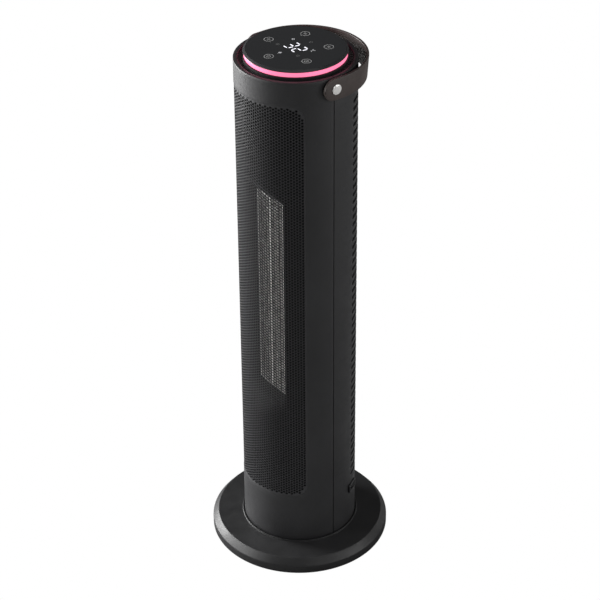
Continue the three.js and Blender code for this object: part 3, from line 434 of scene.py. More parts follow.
def plain_band(low, high, cap_low, holes):
    """A stretch of back shell with no louvre: outer face, a rounded free edge, inner face. Each hole is a
    rectangle (left, right, foot, top) cut through the wall, which gets its own columns and rows of points."""
    free, joined = (low, high) if cap_low else (high, low)
    into = 1 if cap_low else -1
    levels = sorted({z for hole in holes for z in hole[2:]}, reverse=True)
    edge = [free + into * EDGE, free + into * EDGE * 0.3, free, free]
    heights = [joined, *levels, *edge, *levels[::-1], joined]
    depths = [0] * (len(levels) + 2) + [EDGE * 0.3, EDGE] + [WALL] * (len(levels) + 2)
    columns = np.unique(np.concatenate([edge_x, [x for hole in holes for x in hole[:2]]]))
    rows, wide = len(heights), len(columns)
    flat = np.stack(np.meshgrid(columns, heights, indexing="xy"), -1)
    verts = wrapped(flat, np.array(depths, float)[:, None], 180).reshape(-1, 3)
    kept = np.ones((rows - 1, wide - 1), bool)
    kept[[0, -1]] = False
    walls = []
    for left, right, foot, top in holes:
        c0, c1 = np.searchsorted(columns, [left, right])
        r0, r1 = 1 + levels.index(top), 1 + levels.index(foot)
        kept[r0:r1, c0:c1] = kept[rows - 1 - r1:rows - 1 - r0, c0:c1] = False
        rim = [(r0, c) for c in range(c0, c1)] + [(r, c1) for r in range(r0, r1)]
        rim += [(r1, c) for c in range(c1, c0, -1)] + [(r, c0) for r in range(r1, r0, -1)]
        outer = np.array([r * wide + c for r, c in rim])
        inner = np.array([(rows - 1 - r) * wide + c for r, c in rim])
        walls.append(np.stack([outer, inner, np.roll(inner, -1), np.roll(outer, -1)], -1))
    faces = [grid_faces(rows, wide, False, False)[kept.ravel()], *walls]
    ends = np.searchsorted(columns, edge_x)
    for end, near in ((0, wide), ((rows - 1) * wide, (rows - 2) * wide)):
        for c0, c1 in zip(ends[:-1], ends[1:]):
            faces.append(np.array([[end + c0, end + c1, *range(near + c1, near + c0 - 1, -1)]]))
    side = np.arange(rows) * wide
    faces += [side[None], side[None, ::-1] + wide - 1]
    return verts, faces


# The foot of the back shell has an opening behind the switch's bezel and one behind the cord gland.
switch_at, gland_at = -59 / TO_DEG, 0
switch_hole, gland_hole = 9.3, 4.5  # half of each opening's width
openings = [(switch_at - switch_hole, switch_at + switch_hole, 72.6, 83.4),
            (gland_at - gland_hole, gland_at + gland_hole, 39.5, 48.5)]
strip_end = strip_start + LOUVRE_PITCH * LOUVRES
pieces.append(plain_band(shell_bottom, strip_start, True, openings))
pieces.append(plain_band(strip_end, shell_top, False, []))
add_piece("rear_shell", *joined(pieces), "tower", "housing_plastic", charcoal, replaces=["rear_housing"])


# Rims: the top of each housing, thickened inwards to carry the vent. Each is moulded in one with its
# housing: a half ring with flat ends at the seams.
def rectangle(x0, x1, y0, y1):
    """Its four corners, anticlockwise."""
    return [(x0, y0), (x1, y0), (x1, y1), (x0, y1)]


def tube_faces(rings, around):
    """The faces of a tube of rings of points, with a cap at either end."""
    ring = np.arange(around)
    return [grid_faces(rings, around, False, True), ring[None, ::-1], ring[None] + (rings - 1) * around]


def part_turned(outline, start_deg, end_deg, steps):
    """A closed outline of radius and height swept from one angle to another, with flat ends."""
    outline = np.asarray(outline, float)
    a = np.radians(np.linspace(start_deg, end_deg, steps + 1))[:, None]
    r, z = outline[:, 0], outline[:, 1]
    verts = np.stack([r * np.sin(a), -r * np.cos(a), z + 0 * a], -1).reshape(-1, 3)
    return verts, tube_faces(steps + 1, len(outline))


RIM_WIDTH, RIM_DEPTH = 5.5, 2.2
rim_inner, rim_outer = tower_radius - RIM_WIDTH, tower_radius - WALL
rim_outline = round_corners(rectangle(rim_inner, rim_outer, shell_top - RIM_DEPTH, shell_top),
                            [0.3, 0.02, 0.02, 1.2], 5)
seam_deg = SEAM_HALF * TO_DEG
for name, middle in (("front_rim", 0), ("rear_rim", 180)):
    verts, faces = part_turned(rim_outline, middle - 90 + seam_deg, middle + 90 - seam_deg, 90)
    add_piece(name, verts, faces, "tower", "housing_plastic", charcoal)


# Front grille: one sheet of steel, punched with six-sided holes in a honeycomb, rolled to the tower's
# curve and powder-coated. A narrow plain border runs round it, where it is clamped in the window.
powder_coat = grained("powder_coated_steel", (0.036, 0.036, 0.038), 0.4, 3000, 2.0, 0.00004)
HOLE_PITCH = 4.03  # from hole to hole, upright; the columns lie closer, by half the root of three
HOLE_WIDE = 3.2  # across the flats
BORDER = 0.7
GRILLE_INSET, GRILLE_WALL, GRILLE_CORNER, GRILLE_GAP = 0.4, 1.2, 17.6, 0.5
grille_half = window_half - GRILLE_GAP
grille_foot, grille_head = front_window[0][2], front_window[1][2]
grille_middle = (grille_foot + grille_head) / 2


def honeycomb():
    """The sheet laid flat: its points, its land between the holes, and the six points of each hole. Holes
    are numbered by column and row, and odd columns stand half a pitch higher."""
    columns = math.ceil(grille_half / HOLE_PITCH) + 4
    rows = math.ceil((grille_head - grille_foot) / 2 / HOLE_PITCH) + 1
    column, row = np.meshgrid(np.arange(-columns, columns + 1), np.arange(-rows, rows + 1), indexing="ij")
    odd = column % 2
    x = column * HOLE_PITCH * math.sqrt(3) / 2
    z = grille_middle + (row + odd / 2) * HOLE_PITCH
    past_x = np.maximum(abs(x) - (grille_half - GRILLE_CORNER), 0)
    past_z = np.maximum(abs(z - grille_middle) - (grille_head - grille_middle - GRILLE_CORNER), 0)
    inside = np.hypot(past_x, past_z) < GRILLE_CORNER - BORDER - HOLE_WIDE / math.sqrt(3)
    number = np.where(inside, np.cumsum(inside).reshape(inside.shape) - 1, -1)
    turns = np.radians(np.arange(6) * 60)
    hexagon = HOLE_WIDE / math.sqrt(3) * np.stack([np.cos(turns), np.sin(turns)], -1)
    points = (np.stack([x[inside], z[inside]], -1)[:, None] + hexagon).reshape(-1, 2)

    def neighbour(dc, dr):
        """The number of the hole so many columns and rows away, or -1."""
        c = np.clip(column + dc, 0 - columns, columns) + columns
        r = np.clip(row + dr, 0 - rows, rows) + rows
        return number[c, r]
    up, up_right, down_right = neighbour(0, 1), neighbour(1, odd), neighbour(1, odd - 1)

    def land(*corners):
        """Faces whose corners are each a hole's number and which of its six points, where all exist."""
        whole = np.all([holes >= 0 for holes, _ in corners], axis=0)
        return np.stack([holes[whole] * 6 + corner for holes, corner in corners], -1)
    quads = [land((number, 2), (number, 1), (up, 5), (up, 4)),
             land((number, 0), (up_right, 4), (up_right, 3), (number, 1)),
             land((number, 5), (down_right, 3), (down_right, 2), (number, 0))]
    threes = [land((number, 0), (down_right, 2), (up_right, 4)), land((number, 1), (up_right, 3), (up, 5))]
    hexagons = np.arange(len(points)).reshape(-1, 6)
    return points, quads + threes, hexagons


def free_edges(groups):
    """Edges that only one face has."""
    edges = np.vstack([np.stack([g, np.roll(g, -1, 1)], -1).reshape(-1, 2) for g in groups])
    ordered, counts = np.unique(np.sort(edges, 1), axis=0, return_counts=True)
    return ordered[counts == 1]


def reached_from(triangles, first_rim, closed):
    """The triangles met on the way in from the rim's points without crossing a closed edge."""
    sides = [[(min(a, b), max(a, b)) for a, b in zip(t, t[1:] + t[:1])] for t in triangles.tolist()]
    beside = {}
    for number, edges_of in enumerate(sides):
        for edge in edges_of:
            beside.setdefault(edge, []).append(number)
    waiting = np.flatnonzero(triangles.max(1) >= first_rim).tolist()
    reached = set(waiting)
    while waiting:
        for edge in sides[waiting.pop()]:
            fresh = [n for n in beside[edge] if n not in reached and edge not in closed]
            reached.update(fresh)
            waiting += fresh
    return triangles[sorted(reached)]


points, land, hexagons = honeycomb()
edges = free_edges(land + [hexagons])
used = np.unique(edges)
border = hole_loop(grille_half, grille_foot, grille_head, GRILLE_CORNER, 36, 140, 8)
strip = np.vstack([points[used], border])
rim = np.arange(len(border)) + len(used)
land_edges = np.searchsorted(used, edges)
strip_edges = np.vstack([land_edges, np.stack([rim, np.roll(rim, -1)], -1)])
filled = geometry.delaunay_2d_cdt([Vector(p) for p in strip.tolist()], strip_edges.tolist(), [], 2, 1e-6)
back = np.concatenate([used, np.arange(len(border)) + len(points)])
came_from = np.array([origin[0] for origin in filled[3]])
closed = {tuple(edge) for edge in np.sort(land_edges, 1).tolist()}
land.append(back[reached_from(came_from[np.array(filled[2])], len(used), closed)])
flat = np.vstack([points, border])
loops = [hexagons, (np.arange(len(border)) + len(points))[None]]
walls = [np.stack([g, np.roll(g, -1, 1), np.roll(g, -1, 1) + len(flat), g + len(flat)], -1).reshape(-1, 4)
         for g in loops]
verts = np.vstack([wrapped(flat, GRILLE_INSET + depth, 0) for depth in (0, GRILLE_WALL)])
faces = land + [group[:, ::-1] + len(flat) for group in land] + walls
add_piece("punched_grille", verts, faces, "tower", "grille_metal", powder_coat, replaces=["front_grille"])


# Air guide, frame of the elements and the other black mouldings inside. They lead the air from the fan
# through the elements to the grille. They keep the shape they have, and get a dull black finish, darker than
# the plastic itself as painted shade of the tower's inside.
def dress(nodes, finish):
    """Gives CAD pieces that stay as they are a finish in place of their plain one."""
    for node in nodes:
        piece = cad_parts[node]
        piece.data.materials.clear()
        piece.data.materials.append(finish)


# Real black plastic drawn far darker than it is: the extra darkness is painted shade of the tower's inside.
black = grained("dull_black_moulding_painted_shade", (0.0028, 0.0028, 0.003), 0.75, 900, 2.0, 0.00005)
dress(["air_guide", "element_frame", "fan_scroll", "fan_tongue", "fan_plate_lower", "fan_plate_upper",
       "bottom_plate", "panel_carrier", "tilt_switch", "base_cover", "pivot_bush_left", "pivot_bush_right",
       "impeller"], black)


# Ceramic elements: in each, three upright aluminium tubes with the ceramic plates inside hold two folded
# strips of thin aluminium, glued between them, which carry the heat to the air. End plates close them off.
def bright_aluminium(name, dull, bright):
    """Aluminium that goes from dull to bright in small patches."""
    finish = Finish(name, bright, 0.38, 0.3)
    finish.vary(dull, bright, finish.patches(140, 4.0, 0.0, 1.0, 0.15))
    return finish.made


FOLD_PITCH, FOIL = 2.7, 0.32  # of the folded strip
BAR_WIDTH, BAR_ROUND, BAR_GAP = 1.7, 0.5, 0.05
FIN_INSET, PLATE_ROOM, PLATE_THICK, PLATE_ROUND = 0.6, 2.5, 2.1, 0.4


def prism(outline, axis, start, end):
    """A flat outline lifted from start to end along axis; the outline's sides follow the other two axes."""
    outline = np.asarray(outline, float)
    ends = [np.insert(outline, axis, level, axis=1) for level in (start, end)]
    return np.vstack(ends), tube_faces(2, len(outline))


def rounded_box(x0, x1, y0, y1, z0, z1, radius):
    """A block whose upright edges are rounded."""
    return prism(round_corners(rectangle(x0, x1, y0, y1), radius, 4), 2, z0, z1)


def folded_strip(x0, x1, y0, y1, z0, z1):
    """A foil that runs from side to side as it climbs, its folds touching the bars."""
    folds = int((z1 - z0) / FOLD_PITCH * 2)
    z = np.linspace(z0 + FOIL, z1 - FOIL, folds + 1)
    x = np.where(np.arange(folds + 1) % 2 == 0, x0, x1)
    section = np.array(rectangle(y0, y1, -FOIL / 2, FOIL / 2))
    verts = np.stack([np.repeat(x, 4), np.tile(section[:, 0], folds + 1),
                      np.repeat(z, 4) + np.tile(section[:, 1], folds + 1)], -1)
    return verts, tube_faces(folds + 1, 4)


def element(low, high):
    """One element in its box: its bars, and the strips between them with an end plate at each end."""
    (x0, y0, z0), (x1, y1, z1) = low, high
    half = BAR_WIDTH / 2
    bars = np.linspace(x0 + half, x1 - half, 3)
    upright = [rounded_box(x - half, x + half, y0, y1, z0, z1, BAR_ROUND) for x in bars]
    parts = []
    for left, right in zip(bars[:-1] + half + BAR_GAP, bars[1:] - half - BAR_GAP):
        parts.append(folded_strip(left, right, y0 + FIN_INSET, y1 - FIN_INSET,
                                  z0 + PLATE_ROOM, z1 - PLATE_ROOM))
        parts += [rounded_box(left, right, y0, y1, z, z + PLATE_THICK, PLATE_ROUND)
                  for z in (z0, z1 - PLATE_THICK)]
    return joined(upright), joined(parts)


bar_finish = bright_aluminium("element_bars", (0.7, 0.69, 0.67), (0.95, 0.94, 0.92))
# The fins are the same aluminium as the bars, drawn darker as painted shade in the folds between the bars.
fin_finish_painted_shade = bright_aluminium("element_fins_painted_shade", (0.3, 0.29, 0.28), (0.66, 0.65, 0.63))
for side in ("left", "right"):
    node = "ceramic_element_" + side
    bars, fins = element(*span(node))
    add_piece("element_bars_" + side, *bars, "tower", "ceramic_fins", bar_finish)
    add_piece("finned_element_" + side, *fins, "tower", "ceramic_fins", fin_finish_painted_shade, replaces=[node])


# Pieces inside, and the feet: they only show through the openings or from below. Steel, copper, nylon,
# boards, rubber and filter cloth.
def plain_finish(name, colour, roughness, metal, scale, depth):
    """A colour in slightly uneven patches, with a grain twelve times finer of the given depth."""
    finish = Finish(name, colour, roughness, metal)
    dark = tuple(c * 0.8 for c in colour)
    finish.vary(dark, colour, finish.patches(scale, 3.0, 0.0, 1.0, 0.15))
    finish.relief((finish.noise(scale * 12, 2.0), depth))
    return finish.made


dress(["base_weight", "swing_motor", "swivel_retainer", "motor_can", "thermal_cutout", "fan_shaft",
       "motor_rotor", "sector_screw_1", "sector_screw_2", *["base_screw_%d" % n for n in range(1, 5)],
       *["touch_spring_%d" % n for n in range(1, 6)]],
      plain_finish("inner_steel", (0.45, 0.45, 0.47), 0.38, 0.9, 60, 0.00003))
dress(["lower_bearing", "upper_bearing", "motor_stator"],
      plain_finish("inner_copper", (0.62, 0.33, 0.17), 0.4, 0.9, 80, 0.00004))
dress(["slide_ring", "swing_sector", "swing_pinion", "display_module"],
      plain_finish("natural_nylon", (0.68, 0.66, 0.6), 0.5, 0.0, 40, 0.00003))
dress(["power_board", "control_board"],
      plain_finish("solder_mask", (0.02, 0.13, 0.05), 0.35, 0.0, 120, 0.00002))
dress(["rubber_foot_%d" % n for n in range(1, 5)],
      plain_finish("black_rubber", (0.012, 0.012, 0.012), 0.75, 0.0, 150, 0.00006))
dress(["dust_filter"], plain_finish("filter_gauze", (0.045, 0.048, 0.052), 0.9, 0.0, 400, 0.0002))


# Cord gland: a turned rubber bush in the back of the foot, with a collar outside and a bore for the cord.
rubber = grained("gland_rubber", (0.013, 0.013, 0.013), 0.7, 700, 3.0, 0.00005)
GLAND_BORE = 3.6
COLLAR_RISE, COLLAR_FOOT, COLLAR_START, COLLAR_END = 0.8, 11.4, 12.2, 13.6  # along the gland from inside
NOSE_TAPER = 2.4
gland_low, gland_high = span("cord_gland")
gland_radius, gland_length = (gland_high[0] - gland_low[0]) / 2, gland_high[1] - gland_low[1]
gland_z = (gland_low[2] + gland_high[2]) / 2
neck = gland_radius - COLLAR_RISE
gland_points = [(GLAND_BORE, 0), (neck, 0), (neck, COLLAR_FOOT), (gland_radius, COLLAR_START),
                (gland_radius, COLLAR_END), (gland_radius - NOSE_TAPER, gland_length),
                (GLAND_BORE, gland_length)]
verts, faces = turned(round_corners(gland_points, [0.3, 0.3, 0.3, 0.3, 0.6, 0.5, 0.5], 4), 48)
verts = np.stack([verts[:, 0], verts[:, 2] + gland_low[1], verts[:, 1] + gland_z], -1)
add_piece("cord_bush", verts, faces, "tower", "rubber", rubber, replaces=["cord_gland"])


# Power switch: a black bezel let into the back of the foot, and a rocker key whose face is a shallow
# valley. The key turns on an upright axis and lies with its off side down.
SWITCH_DEG, SWITCH_Z = 121, 78
BEZEL_WIDE, BEZEL_TALL, BEZEL_FACE, BEZEL_BACK, BEZEL_EDGE = 21, 12, 77.1, 75.0, 0.4
RECESS_FLOOR = BEZEL_FACE - 9.5
KEY_WIDE, KEY_TALL, KEY_AXIS, KEY_TILT = 14.2, 8, 73.6, 7
KEY_CREST, KEY_VALLEY, KEY_DEPTH, KEY_SLOPE = 2.6, 1.1, 2.4, 2.5


def on_wall(flat, out, deg, height):
    """Points across, upright and out from the axis, set on the tower's side at an angle and a height."""
    turn = math.radians(deg)
    outward = np.array([math.sin(turn), -math.cos(turn), 0])
    across = np.array([math.cos(turn), math.sin(turn), 0])
    points = flat[:, :1] * across + out[:, None] * outward
    points[:, 2] += flat[:, 1] + height
    return points


def ring_of_loops(loops, outs, deg, height):
    """A closed tube whose rings are flat loops, each held at its distance from the axis."""
    verts = np.vstack([on_wall(loop, np.full(len(loop), out), deg, height) for loop, out in zip(loops, outs)])
    return verts, [grid_faces(len(loops), len(loops[0]), True, True)]


def rounded_rectangle(width, height, radius):
    """A rectangle about the origin with rounded corners."""
    return round_corners(rectangle(-width / 2, width / 2, -height / 2, height / 2), radius, 6)


opening = KEY_WIDE + 1.2, KEY_TALL + 0.8
opening_loop = rounded_rectangle(*opening, 0.7)
loops = [rounded_rectangle(BEZEL_WIDE, BEZEL_TALL, 1.6)] * 2
loops.append(rounded_rectangle(BEZEL_WIDE - 2 * BEZEL_EDGE, BEZEL_TALL - 2 * BEZEL_EDGE, 1.3))
loops += [rounded_rectangle(opening[0] + 0.6, opening[1] + 0.6, 0.9), opening_loop, opening_loop]
loops += [rounded_rectangle(BEZEL_WIDE - 3, BEZEL_TALL - 2, 0.8)] * 2
outs = [BEZEL_BACK, BEZEL_FACE - BEZEL_EDGE, BEZEL_FACE, BEZEL_FACE, BEZEL_FACE - 0.3, RECESS_FLOOR,
        RECESS_FLOOR, BEZEL_BACK]
switch_finish = grained("switch_black", (0.011, 0.011, 0.0115), 0.35, 1500, 2.0, 0.00002)
floor_verts, floor_faces = prism(opening_loop, 2, -1, 1)
floor_verts = on_wall(floor_verts[:, :2], floor_verts[:, 2] + RECESS_FLOOR, SWITCH_DEG, SWITCH_Z)
verts, faces = joined([ring_of_loops(loops, outs, SWITCH_DEG, SWITCH_Z), (floor_verts, floor_faces)])
add_piece("switch_bezel", verts, faces, "tower", "black_plastic", switch_finish, replaces=["switch_body"])

half_key, half_tall = KEY_WIDE / 2, KEY_TALL / 2
key_side = [(-half_key, 0), (-half_key + KEY_SLOPE, -KEY_DEPTH), (half_key - KEY_SLOPE, -KEY_DEPTH),
            (half_key, 0), (half_key, KEY_CREST), (0, KEY_CREST - KEY_VALLEY), (-half_key, KEY_CREST)]
key_side = round_corners(key_side, [0.8, 1, 1, 0.8, 0.5, 3.5, 0.5], 6)
tilt = math.radians(-KEY_TILT)
key_side = key_side @ np.array([[math.cos(tilt), math.sin(tilt)], [-math.sin(tilt), math.cos(tilt)]])
key_side[:, 0] *= -1
rings = []
for scale, level in ((0.94, -half_tall), (1, -half_tall + 0.35), (1, half_tall - 0.35), (0.94, half_tall)):
    flat = np.stack([key_side[:, 0] * scale, np.full(len(key_side), level)], -1)
    rings.append(on_wall(flat, key_side[:, 1] * scale + KEY_AXIS, SWITCH_DEG, SWITCH_Z))
add_piece("rocker", np.vstack(rings), tube_faces(4, len(key_side)), "rocker", "black_plastic", switch_finish,
          replaces=["rocker_key"])


# Vent: a charcoal moulding that lies under the rim, inside the housing. Slanted ribs run from its inner
# hoop to the flange against the wall, and let the warm air of the electronics out round the light ring.
RIBS, RIB_THICKNESS, RIB_SLANT = 90, 1.1, 32
RIB_SHORTER = 0.6  # than the vent is tall
VENT_GAP, VENT_WIDTH, HOOP_WIDTH = 0.3, 5.4, 0.9
RIB_IN_HOOP, RIB_IN_FLANGE = 0.4, 0.6  # so far do a rib's ends sink in
vent_low, vent_high = span("vent_ring")
vent_top, vent_bottom = vent_high[2], vent_low[2]
flange_inner = rim_inner - VENT_GAP
hoop_inner = flange_inner - VENT_WIDTH


def vent_rib(deg):
    """A plate along the radius: a flat section, turned by the slant, set at two distances from the axis."""
    half, half_tall = RIB_THICKNESS / 2, (vent_top - vent_bottom - RIB_SHORTER) / 2
    lean = math.radians(RIB_SLANT)
    section = np.array(rectangle(-half, half, -half_tall, half_tall))
    section = section @ np.array([[math.cos(lean), math.sin(lean)], [-math.sin(lean), math.cos(lean)]])
    middle = (vent_top + vent_bottom) / 2
    ends = (hoop_inner + RIB_IN_HOOP, flange_inner + RIB_IN_FLANGE)
    return np.vstack([on_wall(section, np.full(4, end), deg, middle) for end in ends]), tube_faces(2, 4)


hoops = [rectangle(flange_inner, vent_high[0], vent_bottom, vent_top),
         rectangle(hoop_inner, hoop_inner + HOOP_WIDTH, vent_bottom, vent_top)]
parts = [turned(round_corners(outline, 0.25, 3), 120) for outline in hoops]
parts += [vent_rib(360 * rib / RIBS) for rib in range(RIBS)]
add_piece("vent_grid", *joined(parts), "tower", "black_plastic", charcoal, replaces=["vent_ring"])


# Light ring: a translucent plastic diffuser under the panel's edge, lit pink from behind. Its outer face
# leans in a little towards its foot.
def glowing_pink():
    """Milky pink plastic whose light is a little uneven, as behind real lamps."""
    finish = Finish("lit_diffuser", (0.85, 0.2, 0.33), 0.35)
    finish.glow((1.0, 0.2, 0.36), 0.92, 1.12, 35)
    return finish.made


DIFFUSER_WIDTH, DIFFUSER_LEAN = 3.8, 0.4
ring_low, ring_high = span("light_ring")
ring_outer = ring_high[0]
ring_points = [(ring_outer - DIFFUSER_WIDTH, ring_low[2]), (ring_outer - DIFFUSER_LEAN, ring_low[2]),
               (ring_outer, ring_high[2]), (ring_outer - DIFFUSER_WIDTH, ring_high[2])]
verts, faces = turned(round_corners(ring_points, [0.2, 0.8, 0.3, 0.2], 4), 180)
add_piece("diffuser", verts, faces, "tower", "light_ring", glowing_pink(), replaces=["light_ring"])


# Touch panel: a dark disc of printed plastic with a bevelled edge, satin on its face. It is glued to the
# carrier under it, and stands over the light ring.
def satin_panel():
    """Near-black plastic, smooth enough to mirror the lights softly."""
    finish = Finish("satin_panel", (0.027, 0.028, 0.03), 0.3)
    finish.roughness(finish.patches(30, 3.0, 0.27, 0.34))
    finish.relief((finish.noise(1800, 1.0), 0.00001))
    return finish.made


PANEL_BEVEL_WIDE, PANEL_BEVEL_TALL, PANEL_FOOT_EDGE = 3.2, 2.0, 0.5
PANEL_FLAT = 30  # radius of a ring of points that keeps the face flat
panel_low, panel_high = span("control_panel")
panel_radius, panel_top = panel_high[0], panel_high[2]
panel_foot = panel_low[2]
panel_points = [(panel_radius - PANEL_FOOT_EDGE, panel_foot), (panel_radius, panel_foot + PANEL_FOOT_EDGE),
                (panel_radius, panel_top - PANEL_BEVEL_TALL), (panel_radius - PANEL_BEVEL_WIDE, panel_top)]
rounded = round_corners(panel_points, [0.3, 0.3, 0.3, 0.4], 4)
verts, faces = turned([(0, panel_foot), *rounded, (PANEL_FLAT, panel_top), (0, panel_top)], 180)
add_piece("touch_panel", verts, faces, "tower", "panel_glass", satin_panel(), replaces=["control_panel"])


# Marks on the panel: printed ink a few hundredths of a millimetre thick, read from the front of the
# tower. The digits and a few signs are windows in the print, lit from below; the rest is grey print with a
# faint painted glow.
def ink(name, colour, light):
    """Ink of one colour that gives off some light of its own: backlight for the lit windows, a painted glow
    for the grey print.
    """
    finish = Finish(name, colour, 0.5)
    finish.glow(colour, light * 0.9, light, 300)
    return finish.made


INK = 0.06
KEY_CIRCLE, SIGN_CIRCLE = 39.5, 23  # from the panel's middle to the keys and to the small signs
KEY_RADIUS, KEY_LINE = 5.6, 0.62
DIGIT_WIDE, DIGIT_TALL, DIGIT_LINE, DIGIT_GAP = 9.0, 17.6, 1.35, 1.25
DIGIT_ASIDE = 7.5
DIGIT_LEAN = 8


def ribbon(points, width, closed=False):
    """A flat line of even width: each point goes half the width to either side of the line's run, at the
    panel's face and at the top of the ink."""
    p = np.asarray(points, float)
    run = np.roll(p, -1, 0) - np.roll(p, 1, 0) if closed else np.gradient(p, axis=0)
    run /= np.linalg.norm(run, axis=1, keepdims=True)
    aside = np.stack([-run[:, 1], run[:, 0]], -1) * width / 2
    rows = [np.insert(p + side * aside, 2, panel_top + rise, 1)
            for side, rise in ((-1, 0), (1, 0), (1, INK), (-1, INK))]
    faces = [grid_faces(len(p), 4, True, True)] if closed else tube_faces(len(p), 4)
    return np.stack(rows, 1).reshape(-1, 3), faces


def arc(middle, radius, start, end, steps=20):
    """Points on a circle: middle + radius (cos a, sin a), a in degrees from start to end."""
    a = np.radians(np.linspace(start, end, steps + 1))
    return np.stack([middle[0] + radius * np.cos(a), middle[1] + radius * np.sin(a)], -1)


def loop(middle, radius, steps, width):
    """A closed circle of so many points."""
    return ribbon(arc(middle, radius, 0, 360 - 360 / (steps + 1), steps), width, True)


def spot(radius, deg):
    """A place on the panel: radius (sin a, -cos a), a counted from the front."""
    return np.array([radius * math.sin(math.radians(deg)), -radius * math.cos(math.radians(deg))])


def bar(start, end, width):
    """A segment of a digit: a bar with pointed ends, each as long as half the bar's width."""
    run = (end - start) / np.linalg.norm(end - start)
    aside = np.array([-run[1], run[0]]) * width / 2
    tip = run * width / 2
    outline = [start, start + tip - aside, end - tip - aside, end, end - tip + aside, start + tip + aside]
    return prism(outline, 2, panel_top, panel_top + INK)


# The seven segments run between the points of a grid of two columns and three rows.
SEGMENTS = {"top": ((0, 2), (1, 2)), "middle": ((0, 1), (1, 1)), "foot": ((0, 0), (1, 0)),
            "upper_left": ((0, 1), (0, 2)), "upper_right": ((1, 1), (1, 2)),
            "lower_left": ((0, 0), (0, 1)), "lower_right": ((1, 0), (1, 1))}
DIGITS = {"3": ("top", "middle", "foot", "upper_right", "lower_right"),
          "2": ("top", "middle", "foot", "upper_right", "lower_left"),
          "C": ("top", "foot", "upper_left", "lower_left")}


def digit(kind, middle, wide, tall, line, gap):
    """The lit bars of a digit on a leaning grid: a point's place across grows with its height."""
    parts = []
    for name in DIGITS[kind]:
        grid = np.array(SEGMENTS[name], float) - [0.5, 1]
        ends = grid * [wide, tall / 2]
        ends[:, 0] += ends[:, 1] * math.tan(math.radians(DIGIT_LEAN))
        run = (ends[1] - ends[0]) / np.linalg.norm(ends[1] - ends[0])
        parts.append(bar(ends[0] + run * gap + middle, ends[1] - run * gap + middle, line))
    return parts


def power_sign(m):
    """A ring open at its top, with an upright stroke in the opening."""
    return [ribbon(arc(m, 2.3, 120, 420), 0.55), ribbon([m + [0, 0.4], m + [0, 1.6], m + [0, 3]], 0.55)]


def clock_sign(m):
    """A ring with two hands."""
    return [loop(m, 2.5, 19, 0.5), ribbon([m + [0, 1.6], m, m + [1.3, 0]], 0.5)]


def swing_sign(m):
    """Two arcs that face each other and a short line between them."""
    return [ribbon(arc(m + [0.9, 0], 2.4, 130, 230, 8), 0.55),
            ribbon(arc(m - [0.9, 0], 2.4, -50, 50, 8), 0.55), ribbon([m + [-1, 0], m, m + [1, 0]], 0.5)]


def lamp_sign(m):
    """A small ring with six rays."""
    rays = [np.array([math.cos(a), math.sin(a)]) for a in np.radians(np.arange(0, 360, 60))]
    return [loop(m, 1.2, 11, 0.5)] + [ribbon(m + np.outer((1.9, 2.4, 2.9), ray), 0.45) for ray in rays]


def heat_sign(m):
    """Three waves that rise side by side: x = 0.6 sin t, y from -2 to 2."""
    wave = np.stack([0.6 * np.sin(np.linspace(0, 6.28, 13)), np.linspace(-2, 2, 13)], -1)
    return [ribbon(m + wave + [aside, 0], 0.5) for aside in (-1.6, 0, 1.6)]


digits = []
for kind, aside in (("3", -DIGIT_ASIDE), ("2", DIGIT_ASIDE)):
    digits += digit(kind, (aside, 0), DIGIT_WIDE, DIGIT_TALL, DIGIT_LINE, DIGIT_GAP)

degree = spot(SIGN_CIRCLE, 117)
lit_signs = digit("C", degree, 2.6, 4.6, 0.8, 0.1)
lit_signs.append(ribbon(arc(degree + [-2.9, 2.2], 0.7, 0, 342, 9), 0.45, True))
lit_signs.append(loop(spot(SIGN_CIRCLE, -120), 1.5, 11, 0.8))
fan = spot(SIGN_CIRCLE, 0)
lit_signs += [ribbon([fan + blade, fan, fan - blade], 0.9)
              for blade in 2.1 * np.array([(0.87, 0.5), (0.87, -0.5), (0, 1)])]

grey_signs_painted_glow = []
for deg in (60, -60, 180):
    middle = spot(SIGN_CIRCLE, deg)
    grey_signs_painted_glow.append(ribbon(arc(middle, 1.9, 20, 340, 14), 0.45))
    grey_signs_painted_glow.append(ribbon([middle + [0, -1], middle, middle + [0, 1.2]], 0.5))

keys = []
for deg, sign in ((0, power_sign), (72, clock_sign), (144, swing_sign), (-72, lamp_sign), (-144, heat_sign)):
    middle = spot(KEY_CIRCLE, deg)
    keys += [loop(middle, KEY_RADIUS, 59, KEY_LINE), *sign(middle)]

# The grey signs and key rings are plain print, and their light is a painted glow; the digits and lit signs
# are backlit.
for name, parts, finish in (("lit_digits", digits, ink("lit_white", (0.93, 0.93, 1.0), 1.1)),
                            ("lit_signs", lit_signs, ink("dim_white", (0.5, 0.5, 0.52), 0.4)),
                            ("printed_signs_painted_glow", grey_signs_painted_glow, ink("faint_grey_print_painted_glow", (0.16, 0.16, 0.16), 0.1)),
                            ("printed_keys_painted_glow", keys, ink("grey_print_painted_glow", (0.4, 0.4, 0.4), 0.2))):
    add_piece(name, *joined(parts), "tower", "panel_glass", finish)


# Handle: a band of dark brown leather round the back of the head, cut to a half round at its two ends,
# with burnished edges. Its back leans out a little, and it turns on the rivets at its ends.
def strap_leather():
    """Brown hide with a pebbled grain, patchy in colour and gloss."""
    finish = Finish("brown_leather", (0.055, 0.042, 0.038), 0.5)
    finish.vary((0.045, 0.034, 0.031), (0.07, 0.054, 0.049), finish.patches(45, 4.0, 0.0, 1.0))
    grain = finish.node("TexVoronoi", Vector=finish.place, Scale=900.0)
    finish.relief((grain.outputs["Distance"], 0.00008), (finish.noise(1400, 3.0), 0.00008))
    finish.roughness(finish.patches(45, 4.0, 0.42, 0.56))
    return finish.made


STRAP_THICK, STRAP_BACK, STRAP_LEAN, STRAP_EDGE = 3.3, 9.2, 0.09, 1.0
strap_low, strap_high = span("handle_strap")
strap_half = (strap_high[2] - strap_low[2]) / 2
strap_middle = (strap_high[2] + strap_low[2]) / 2
strap_radius = strap_high[0] - STRAP_THICK / 2
end_middle = strap_low[1] + strap_half


